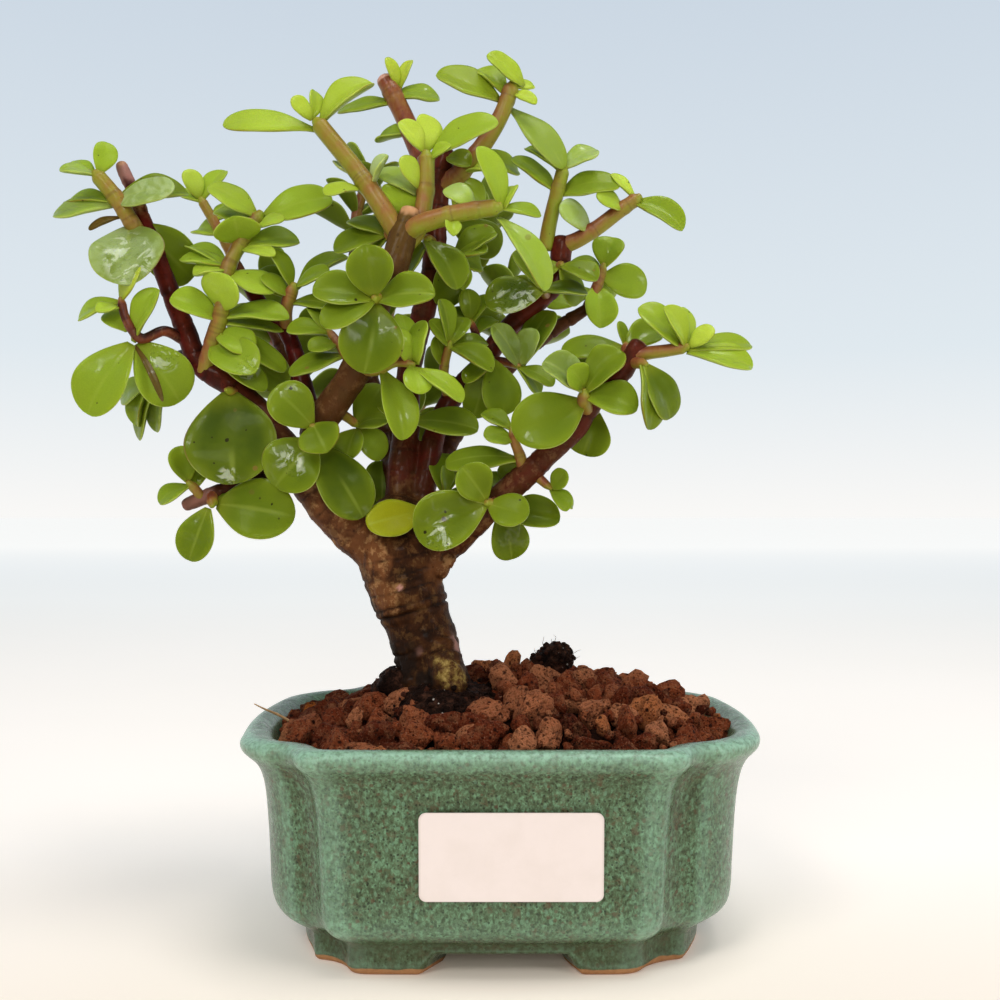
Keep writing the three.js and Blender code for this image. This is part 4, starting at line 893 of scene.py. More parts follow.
clod = {"place": (13.2, 63.8, 5.5), "reach": (5.2, 4.6, 4.7), "crumbs": 150, "roots": 24}


def moundHeight(x, y):
    fall = ((x - mound["x"]) / mound["halfX"]) ** 2 + (y / mound["halfY"]) ** 2
    return mound["rimZ"] + mound["rise"] * np.maximum(0, 1 - fall)


def ball(level):  # an evenly divided ball of unit size
    shape = bmesh.new()
    bmesh.ops.create_icosphere(shape, subdivisions=level, radius=1)
    verts = np.array([v.co[:] for v in shape.verts])
    tris = np.array([[v.index for v in f.verts] for f in shape.faces])
    shape.free()
    return verts / np.linalg.norm(verts, axis=1)[:, None], tris


balls = {level: ball(level) for level in (1, 2, 3, 4)}


def lumpPart(verts, level, values):
    return {**noFaces, "verts": verts, "tris": balls[level][1], "values": values}


def peatPart(verts, level, fleck, brown):
    return lumpPart(verts, level, {"fleck": fleck, "brown": brown})


def stone(centre, size, seed, level):  # a broken grain with a crumbly, pitted face
    chance = np.random.default_rng(seed)
    dirs = balls[level][0]
    planes = chance.normal(size=(stones["facets"], 3))
    planes /= np.linalg.norm(planes, axis=1)[:, None]
    depth = chance.uniform(0.48, 0.96, stones["facets"])
    reach = depth / np.maximum(dirs @ planes.T, 0.05)
    reach = np.concatenate([reach, np.full((len(dirs), 1), 1.2)], 1)
    shape = dirs * ((reach**-40).sum(1) ** (-1 / 40))[:, None]
    at = shape + chance.uniform(0, 40, 3)
    lumps = stones["lumpy"] * rough(at, 0.75, seed, 2) + stones["crumbly"] * rough(at, 0.26, seed + 9, 2)
    pits = smoothStep(0.25, 0.62, rough(at, 0.3, seed + 5, 2))
    shape *= (1 + lumps - stones["pitted"] * pits)[:, None]
    stretch = chance.uniform(0.74, 1.22, 3)
    turn = np.linalg.qr(chance.normal(size=(3, 3)))[0]
    if np.linalg.det(turn) < 0:  # a mirrored grain would be inside out
        turn[:, 0] *= -1
    shape = (shape * stretch) @ turn.T
    tone = 0.975 * chance.random() if seed != 100 + stones["rusty"] else 1.0
    # deep marks the pits for painted shade
    return lumpPart(centre + shape * size * 1.04, level, {"seed": tone, "deep": 0.5 * pits})


def roomAt(inset):  # how far the pot's inside reaches from its middle, in any direction
    outline = potOutline(inset) - (pot["middle"], 0)
    angle = np.arctan2(outline[:, 1], outline[:, 0])
    order = np.argsort(angle)
    return angle[order], np.linalg.norm(outline, axis=1)[order]


def scatterStones():
    chance = np.random.default_rng(stones["seed"])
    angles, reach = roomAt(stones["inset"])
    halfX, halfY = stones["area"]
    freeX, freeY, freeWidth, freeDepth = stones["free"]
    layers = []
    for drop, spacing, least in stones["layers"]:
        placed = np.zeros((0, 4))
        for size in (size for size in stones["sizes"] if size >= least):
            for _ in range(stones["tries"] if size > 3.5 else stones["tries"] // 2):
                x, y = chance.uniform(-halfX, halfX) + pot["middle"], chance.uniform(-halfY, halfY)
                radius = size * chance.uniform(0.88, 1.08)
                dx = x - pot["middle"]
                room = np.interp(math.atan2(y, dx), angles, reach, period=2 * np.pi)
                inTheWall = math.hypot(dx, y) > room - 0.8 * radius + drop * 0.1
                toPeat = math.hypot((x - freeX) / freeWidth, (y - freeY) / freeDepth)
                onThePeat = drop == 0 and toPeat < 1 + 0.04 * radius
                apart = np.hypot(placed[:, 0] - x, placed[:, 1] - y)
                if inTheWall or onThePeat or (apart < spacing * (placed[:, 3] + radius)).any():
                    continue
                z = moundHeight(x, y) - drop - stones["sunk"] * radius
                z += chance.uniform(-0.9, 0.7) * (drop == 0)
                placed = np.vstack([placed, (x, y, z, radius)])
        layers.append(placed)
    return layers


def buildGravel():
    top, middle, bottom = scatterStones()
    front, back, under = [], [], []
    for k, (x, y, z, radius) in enumerate(top):
        near = y < 4
        level = 2 + (radius > 1.4) + (near and radius > 2.5)
        (front if near else back).append(stone(np.array([x, y, z]), radius, 100 + k, level))
    for k, (x, y, z, radius) in enumerate(np.concatenate([middle, bottom])):
        under.append(stone(np.array([x, y, z]), radius * 1.05, 3000 + k, 3 if k < len(middle) else 2))
    return front, back, under


def buildBed():  # a dark bed that fills the gaps between the stones: painted shade
    outline = potOutline(9.0)[::4] - (pot["middle"], 0)
    rings = []
    for share in np.linspace(1, 0.02, 42):
        xy = outline * share + (pot["middle"], 0)
        rings.append(np.column_stack([xy, moundHeight(xy[:, 0], xy[:, 1]) - bed["drop"]]))
    rings = np.array(rings)
    rings[0, :, 2] = bed["edge"]
    inner = rings[1:].reshape(-1, 3)
    rings[1:, :, 2] += (bed["lumps"] * rough(inner, 2.6, 12)).reshape(rings.shape[0] - 1, -1)
    part = closedSkin(rings, np.array([pot["middle"], 0, bed["under"]]), rings[-1].mean(0))
    # painted shade, nearly black
    part["values"] = {"deep": 0.9, "seed": 0.1}
    return part


frontStones, backStones, underStones = buildGravel()
addPiece("gravelFront", frontStones, [lava], "gravel")
addPiece("gravelBack", backStones, [lava], "gravel")
addPiece("gravelBelow", underStones + [buildBed()], [lava], "gravel")
print("gravel ready", len(frontStones), len(backStones), len(underStones))


def fibre(start, direction, length, thick, seed, droop=0.3):  # a fine root hair
    chance = np.random.default_rng(seed)
    points, heading = [np.array(start, float)], unit(np.array(direction, float))
    for _ in range(6):
        heading = unit(heading + chance.normal(size=3) * 0.28 - (0, 0, droop * 0.2))
        points.append(points[-1] + heading * length / 6)
    part = tube(points, np.linspace(thick, thick * 0.4, 7), length / 10, 5)
    part["values"] = {"fleck": 0.0, "brown": 0.5}
    return part


def heapSurface():
    heights, reach = np.array(heap["levels"], float).T
    line, radius, _ = smoothPath(np.column_stack([heights, heights * 0, heights * 0]), reach, 0.3)
    angle = turnsOf(heap["sides"])
    radius = radius[:, None] * (1 + 0.08 * np.sin(3 * angle + 1) + 0.05 * np.sin(7 * angle))
    z = line[:, :1] + 0 * radius
    x = heap["x"] - 0.12 * (z - 48) + radius * np.cos(angle)
    y = heap["y"] + 0.22 * (z - 48) + radius * np.sin(angle)
    rings = np.stack([x, y, z], -1)
    flat = rings.reshape(-1, 3)
    outward = flat - (heap["x"], heap["y"], 46)
    outward /= np.linalg.norm(outward, axis=1)[:, None]
    flat += outward * (1.1 * rough(flat, 4.5, 41, 2) + 0.7 * rough(flat, 1.3, 43, 3))[:, None]
    return rings


def buildPeat():
    chance = np.random.default_rng(31)
    rings = heapSurface()
    surface = closedSkin(rings, rings[0].mean(0), rings[-1].mean(0))
    surface["values"] = {"fleck": 1.0, "brown": 0.0}
    parts = [surface]
    for place, reach in heap["lumps"]:
        lump = balls[4][0] * reach
        lump *= (1 + 0.22 * rough(lump, 3.0, 71, 2) + 0.16 * rough(lump, 1.0, 73, 3))[:, None]
        parts.append(peatPart(seen(*place) + lump, 4, 0.5, 0.0))
    shoulder = rings[6:].reshape(-1, 3)
    for k in range(heap["crumbs"]):
        size = chance.uniform(0.3, 1.0) ** 1.4 * heap["crumb"]
        base = shoulder[chance.integers(len(shoulder))]
        spread = chance.normal(size=3) * heap["scatter"] * (1 - 0.5 * (size > 0.8))
        level = 2 if size > 0.7 else 1
        shape = balls[level][0] * (1 + 0.3 * rough(balls[level][0] * 2 + k, 1.0, k, 2))[:, None]
        shape *= chance.uniform(0.7, 1.25, 3) * size * 0.8
        parts.append(peatPart(base + spread + shape, level, 0.6, 0.8 * (chance.random() < 0.12)))
    chance = np.random.default_rng(77)
    for k in range(heap["roots"]):
        angle = chance.uniform(0, 2 * np.pi)
        outward = np.array([math.cos(angle), math.sin(angle), 0.5])
        root = (heap["x"] + 11.5 * outward[0], heap["y"] + 11.5 * outward[1], chance.uniform(53, 57))
        parts.append(fibre(root, outward, chance.uniform(2, 5), 0.09, 200 + k))
    return parts


addPiece("pottingPeat", buildPeat(), [peat], "potting_soil")


def buildClod():
    centre = seen(*clod["place"])
    shape = balls[4][0] * clod["reach"]
    shape *= (1 + 0.2 * rough(shape, 4.0, 51, 2) + 0.13 * rough(shape, 1.3, 57, 3))[:, None]
    shape[:, 0] += 0.12 * shape[:, 2]
    # Browner patches, more on the clod's right side, where this is painted light, and fewer on its top.
    sunny = 0.28 * (shape[:, 0] > 0.5) - 0.1 * (shape[:, 2] > 2.5)
    brownAndLitSide = smoothStep(0.15, 0.75, rough(shape + (3, 0, 2), 5.0, 63, 2) + sunny)
    verts = centre + shape
    parts = [peatPart(verts, 4, 0.35, 0.5 * brownAndLitSide)]
    chance = np.random.default_rng(5)
    small = balls[2][0]
    for k in range(clod["crumbs"]):
        at = verts[chance.integers(len(verts))]
        size = chance.uniform(0.25, 0.85)
        lump = small * (1 + 0.3 * rough(small * 2 + k, 1.0, k, 2))[:, None] * size
        parts.append(peatPart(at + lump, 2, 0.2, 0.45 * (chance.random() < 0.25)))
    for k in range(clod["roots"]):
        at = verts[chance.integers(len(verts))]
        parts.append(fibre(at, at - centre, chance.uniform(1.2, 3.4), 0.08, 300 + k, -0.2))
    return parts


addPiece("soilClod", buildClod(), [peat], "soil_clod")

straw = {
    "line": [
        (-61.3, 53.1, -22), (-58.9, 51.9, -20.4), (-56, 50.7, -18), (-53.2, 49.2, -16.2), (-51, 47.6, -15),
    ],
    "radii": [0.12, 0.22, 0.3, 0.34, 0.3],
}
strawBlade = tube([seen(*p) for p in straw["line"]], straw["radii"], 0.4, 8)
addPiece("strawBlade", [strawBlade], [strawSkin], "dry_straw")
print("peat, clod and straw ready")


# The trunk, its limbs and branches.
# each limb: its points (across and up as seen on the plane y = 0, then the depth) and its radius at each
limbs = {
    "trunk": (
        [
            (-14, 44, -4), (-16, 54, -5), (-17.4, 63, -5), (-19, 69, -5), (-21, 75, -4.5), (-24.5, 85, -4),
            (-25.5, 94, -3), (-25, 101, -2),
        ], [8.5, 9.6, 8.3, 8.1, 8.5, 9.6, 9.4, 6.5],
    ),
    "leftLimb": (
        [
            (-26, 87, -4), (-34, 95, -4), (-42, 102, -5), (-50, 112, -6), (-56, 119, -7), (-62, 127.5, -6),
            (-67, 132.5, -5), (-75, 138, -4), (-78.5, 146, -3), (-84, 160, -2), (-88.5, 172, -1),
            (-91, 179, 0), (-95, 188, 0),
        ], [5, 6.4, 5.6, 4.8, 4.2, 3.4, 3.1, 2.8, 2.6, 2.3, 2, 1.8, 1.6],
    ),
    "frontLimb": (
        [
            (-47, 112, -6), (-45.5, 121, -9), (-36, 137, -14), (-30, 156, -16), (-26.5, 163, -16),
            (-24, 171, -15), (-22.5, 176, -15),
        ], [4, 3.9, 3.7, 3.6, 3.5, 3.4, 2.6],
    ),
    "leftStem": (
        [
            (-25, 97, -2), (-24.7, 110, 1), (-23.5, 122, 3), (-22.5, 138, 4), (-20, 148, 4), (-17, 160, 3),
            (-16, 178, 3), (-13.5, 191, 3),
        ], [4.4, 3.7, 3.4, 3.1, 3, 3, 3, 2.4],
    ),
    "rightStem": (
        [
            (-21, 97, -1), (-18.4, 110, 1), (-15.8, 122, 3), (-11, 131, 4), (-4.5, 138, 4), (1, 146, 4),
            (10, 154, 5), (13.8, 158, 5.5), (15.5, 168.5, 6),
        ], [3.6, 2.9, 2.8, 2.7, 2.6, 2.5, 2.5, 2.5, 2.9],
    ),
    "rightLimb": (
        [
            (-20, 87, -4), (-11, 94, -6), (-4, 100.5, -9), (2, 106.5, -11), (8, 111.5, -13),
            (12, 115.5, -14), (20, 123, -16), (22.5, 127, -17), (30, 135.5, -19), (34.7, 142.5, -20),
        ], [4, 3.6, 3.2, 3.2, 3, 2.8, 2.5, 2.3, 2.6, 2.4],
    ),
    "redBranch": (
        [
            (-45.5, 121, -9), (-49.5, 134, -5), (-51, 140, -3), (-54, 147, -2), (-59, 152, -2),
            (-63, 157.5, -2),
        ], [2.6, 2.2, 2.2, 2.1, 2, 1.7],
    ),
    "lowLeftBranch": (
        [(-51, 112.5, -6), (-59, 110, -7), (-69, 106.5, -8), (-78.5, 102.8, -8.5)], [2, 1.7, 2, 1.7],
    ),
    "stub": (
        [(-20, 84, -5), (-15, 87.5, -8), (-11.5, 89.5, -9)], [4, 2.8, 1],
    ),
    "backLeft": (
        [(-47, 110, -5), (-48, 125, 10), (-54, 142, 18), (-61, 154, 20), (-66.5, 163.5, 20)],
        [3, 2.6, 2.2, 1.8, 1.6],
    ),
    "backMiddle": (
        [(-25, 106, 0), (-29, 122, 13), (-34, 140, 23), (-37, 156, 27), (-36, 168, 28)],
        [3, 2.6, 2.3, 2, 1.7],
    ),
    "backRight": (
        [(-18.6, 108, 1), (-9, 124, 13), (3, 138, 21), (14, 147, 24), (23, 152.5, 24)],
        [2.8, 2.4, 2.1, 1.9, 1.6],
    ),
    # lumps where the roots begin
    "foot": (
        [(-15, 70, -7.5), (-14, 64, -11.5), (-13, 58.5, -13.5), (-12.5, 50, -13)], [3.4, 4.3, 4.6, 4.0],
    ),
    "footLeft": (
        [(-20, 68, -7.5), (-21.3, 61.5, -8.5), (-21.8, 53, -9)], [3.2, 3.8, 4.0],
    ),
}
barkKinds = ("old", "red", "olive", "tan")
backLimb = [(0.6, 0.1), (0.4, 0.5), (0, 0.3), (0.2, 0), 6.0, 0.25]
# how old, red, olive and fibrous the skin is at both ends of a limb, then the spacing and depth of its scars
limbLooks = {
    "trunk": [(1, 1), (0, 0), (0, 0), (0.0, 0.1), 0, 0.0],
    "leftLimb": [(1.0, -0.9), (0.2, 1.15), (0.1, 0.0), (1.0, -1.2), 7.2, 0.16],
    "frontLimb": [(0.5, 0.2), (0.2, 0.1), (0.3, 0.75), (0.3, 0.0), 9.0, 0.12],
    "leftStem": [(0.4, -0.2), (0.8, 0.8), (0, 0.1), (0.2, 0), 9.5, 0.1],
    "rightStem": [(0.4, -0.1), (1.0, 0.85), (0, 0.1), (0.1, 0), 8.0, 0.12],
    "rightLimb": [(0.8, -0.1), (0.55, 0.95), (0, 0.05), (0.4, 0.1), 6.5, 0.16],
    "redBranch": [(0.2, -0.1), (0.9, 0.9), (0, 0), (0, 0), 7.0, 0.1],
    "lowLeftBranch": [(0.5, 0.1), (0.5, 0.6), (0, 0.2), (0, 0), 4.5, 0.14],
    "stub": [(1, 0.8), (0, 0), (0, 0), (0.4, 1.0), 2.5, 0.35],
    "backLeft": backLimb, "backMiddle": backLimb, "backRight": backLimb,
    "foot": [(1, 1), (0, 0), (0, 0), (0.2, 0), 3.0, 0.3],
    "footLeft": [(1, 1), (0, 0), (0, 0), (0, 0), 3.0, 0.3],
}
# creases across the main trunk: height on its middle line, slope to the right, depth, half width
trunkCreases = [
    (60.6, 0.3, 0.3, 0.4), (67.8, 0.31, 0.6, 0.36), (71.7, 0.3, 0.16, 0.28), (77.5, 0.3, 0.6, 0.34),
    (79.8, 0.32, 0.5, 0.32), (83.2, 0.26, 0.14, 0.26), (87.1, 0.24, 0.42, 0.34), (91.0, 0.2, 0.16, 0.28),
]
# soft marks on the bark, for each kind: place, reach and strength
barkMarks = {
    "tan": [
        ((-31, 80, -12), 6.0, 0.9), ((-33, 88, -12), 6.0, 1.0), ((-42, 101, -13), 7.0, 1.0),
        ((-35, 95, -14), 6.0, 0.9), ((-91, 178, -1), 5.0, 0.8),
    ],
    "moss": [((-14.5, 65.0, -13), 2.4, 0.8), ((-12.8, 61.5, -16), 3.8, 0.9), ((-11, 59.5, -17), 3.4, 0.9)],
    "pink": [
        ((-25, 82, -13.4), 0.6, 1.0), ((-11.5, 67, -10), 2.6, 0.6), ((-20.5, 66, -14), 1.6, 0.35),
        ((-94.8, 186.5, 0), 4.5, 0.6), ((-90, 181, -1), 2.5, 0.4), ((-75.5, 104.0, -8.5), 6.5, 0.35),
    ],
    "soiled": [
        ((-26, 62, -10), 6.0, 1.0), ((-22.5, 65.5, -15), 3.4, 0.9), ((-26, 57, -2), 8.0, 1.0),
        ((-19, 59, -15), 3.6, 1.0), ((-16, 51, -4), 8.0, 1.0),
    ],
    "cut": [((-22.3, 177.5, -16), 3.0, 1.0), ((-95.3, 189.5, 0), 2.6, 0.6), ((35.8, 144, -20), 1.7, 0.8)],
}
skin = {
    "voxel": 0.52, "smoothing": 7, "blend": 0.55, "block": 12000, "shadedSide": (-0.85, -0.1, -0.45),
    "knobbly": 0.2, "fibrous": 0.12, "young": 0.12, "mossy": 0.75, "crusty": 0.6, "frayed": 0.2,
}


def bell(x):
    return np.exp(-(x**2))


def wavy(spacing, seed):  # a limb that swells and thins a little along its length
    return lambda s: 1 + 0.025 * np.sin(2 * np.pi * (s + 1.7 * seed + np.sin(s / 5)) / spacing)


def remeshedTrunk():  # the limbs grown into one skin: its points, normals and faces
    parts = []
    for seed, (name, (points, radii)) in enumerate(limbs.items()):
        swell = wavy(limbLooks[name][4] or 11, seed)
        parts.append(tube([seen(*p) for p in points], radii, 0.8, 24, swell))
        parts[-1]["values"] = {}
    tubes = addObject("limbTubes", meshOf("limbTubes", joinParts(parts)))
    remesh = tubes.modifiers.new("remesh", "REMESH")
    remesh.mode, remesh.voxel_size = "VOXEL", skin["voxel"] / 1000
    smooth = tubes.modifiers.new("smooth", "SMOOTH")
    smooth.factor, smooth.iterations = 0.5, skin["smoothing"]
    bpy.context.view_layer.update()
    mesh = bpy.data.meshes.new_from_object(tubes.evaluated_get(bpy.context.evaluated_depsgraph_get()))
    bpy.data.objects.remove(tubes)
    verts, normals = np.zeros((2, len(mesh.vertices) * 3))
    mesh.vertices.foreach_get("co", verts)
    mesh.vertex_normals.foreach_get("vector", normals)
    quads = np.zeros(len(mesh.loops), int)
    mesh.loops.foreach_get("vertex_index", quads)
    bpy.data.meshes.remove(mesh)
    return verts.reshape(-1, 3) * 1000 - treeShift, normals.reshape(-1, 3), quads.reshape(-1, 4)


def nearestOnLimb(verts, path, radius, s):  # distance over the limb's own skin, and how far along
    far, along = np.zeros((2, len(verts)))
    for start in range(0, len(verts), skin["block"]):
        block = slice(start, start + skin["block"])
        apart = np.linalg.norm(verts[block, None] - path[None], axis=2) - radius
        best = apart.argmin(axis=1)
        far[block] = apart[np.arange(len(best)), best]
        along[block] = s[best]
    return far, along


def ringScars(verts, along, length, look, seed):  # the dark line of each scar, and the swelling beside it
    chance = np.random.default_rng(40 + seed)
    spacing, depth = look[4:]
    bent = along + 0.55 * rough(verts, 3.5, 90 + seed, 2)
    mark, swelling = np.zeros((2, len(verts)))
    at = 3.0
    while at < length - 1.5:
        mark = np.maximum(mark, bell((bent - at) / 0.3))
        swelling += depth * 0.7 * bell((bent - at - 0.9) / 0.8)
        at += spacing * chance.uniform(0.55, 1.45)
    return mark, swelling


def barkFields(verts):  # how old, red, olive and tan the bark is, how far it is pushed out, its dark rings
    weights, fields = [], []
    push, ring = np.zeros((2, len(verts)))
    for seed, (name, (points, radii)) in enumerate(limbs.items()):
        look = limbLooks[name]
        path, radius, s = smoothPath([seen(*p) for p in points], radii, 0.5)
        far, along = nearestOnLimb(verts, path, radius, s)
        weight = np.exp(-np.maximum(far, -0.5) / skin["blend"])
        fields.append([first + (last - first) * along / s[-1] for first, last in look[:4]])
        weights.append(weight)
        if look[4]:
            near = weight.clip(0, 1)
            mark, swelling = ringScars(verts, along, s[-1], look, seed)
            patchy = np.clip(0.45 + 0.9 * rough(verts, 2.5, 60 + seed, 1), 0, 1)
            ring = np.maximum(ring, near * mark * patchy)
            push += near * (swelling - mark * look[5])
    weights = np.array(weights) / np.sum(weights, axis=0)
    blended = (weights[:, None] * np.array(fields)).sum(0).clip(0, 1)
    return dict(zip(barkKinds, blended)), weights[0], push, ring


def buildTrunk():
    verts, normals, quads = remeshedTrunk()
    values, onTrunk, push, ring = barkFields(verts)
    bentZ = verts[:, 2] + 0.45 * rough(verts, 3.0, 7, 2)
    for height, slope, depth, half in trunkCreases:
        line = bentZ - height - slope * (verts[:, 0] + 19.2)
        broken = np.clip(0.75 + 1.1 * rough(verts, 4.0, int(height * 10), 1), 0, 1)
        mark = bell(line / half) * onTrunk * broken
        ring = np.maximum(ring, mark)
        push += 0.35 * depth * onTrunk * bell((line + 1.2) / 0.9) - depth * mark
    old = values["old"]
    # Painted shade: young bark is darker red on the side turned to the lower left.
    shaded = smoothStep(0.1, 0.9, normals @ skin["shadedSide"]) * (1 - old)
    values["red"] = np.clip(values["red"] + 0.5 * shaded, 0, 1)
    values["olive"] = values["olive"] * (1 - 0.7 * shaded)
    for kind, marks in barkMarks.items():
        values.setdefault(kind, np.zeros(len(verts)))
        for place, reach, strength in marks:
            spot = np.linalg.norm(verts - seen(*place), axis=1) / reach
            mark = strength * smoothStep(1.15, 0.6, spot + 0.5 * rough(verts, 2.2, 3, 3))
            values[kind] = np.maximum(values[kind], mark)
    values["tan"] = np.clip(values["tan"] * (1 - values["soiled"]), 0, 1)
    values["ring"] = np.clip(ring, 0, 1) * (1 - values["cut"])
    fibres = skin["fibrous"] * rough(verts * (1, 1, 0.35), 0.9, 33, 2)
    push += old * (skin["knobbly"] * rough(verts, 4.2, 21, 2) + fibres)
    push += (1 - old) * skin["young"] * rough(verts, 2.4, 25, 2)
    push += values["moss"] * (skin["mossy"] * rough(verts, 1.1, 15, 2) + 0.5)
    push += skin["crusty"] * values["soiled"] * rough(verts, 1.4, 19, 3)
    push += skin["frayed"] * values["tan"] * rough(verts * (1, 1, 0.25), 0.8, 35, 2)
    return {**noFaces, "verts": verts + normals * push[:, None], "quads": quads, "values": values}


addPiece("trunkAndLimbs", [buildTrunk()], [bark], "trunk")
print("trunk ready")


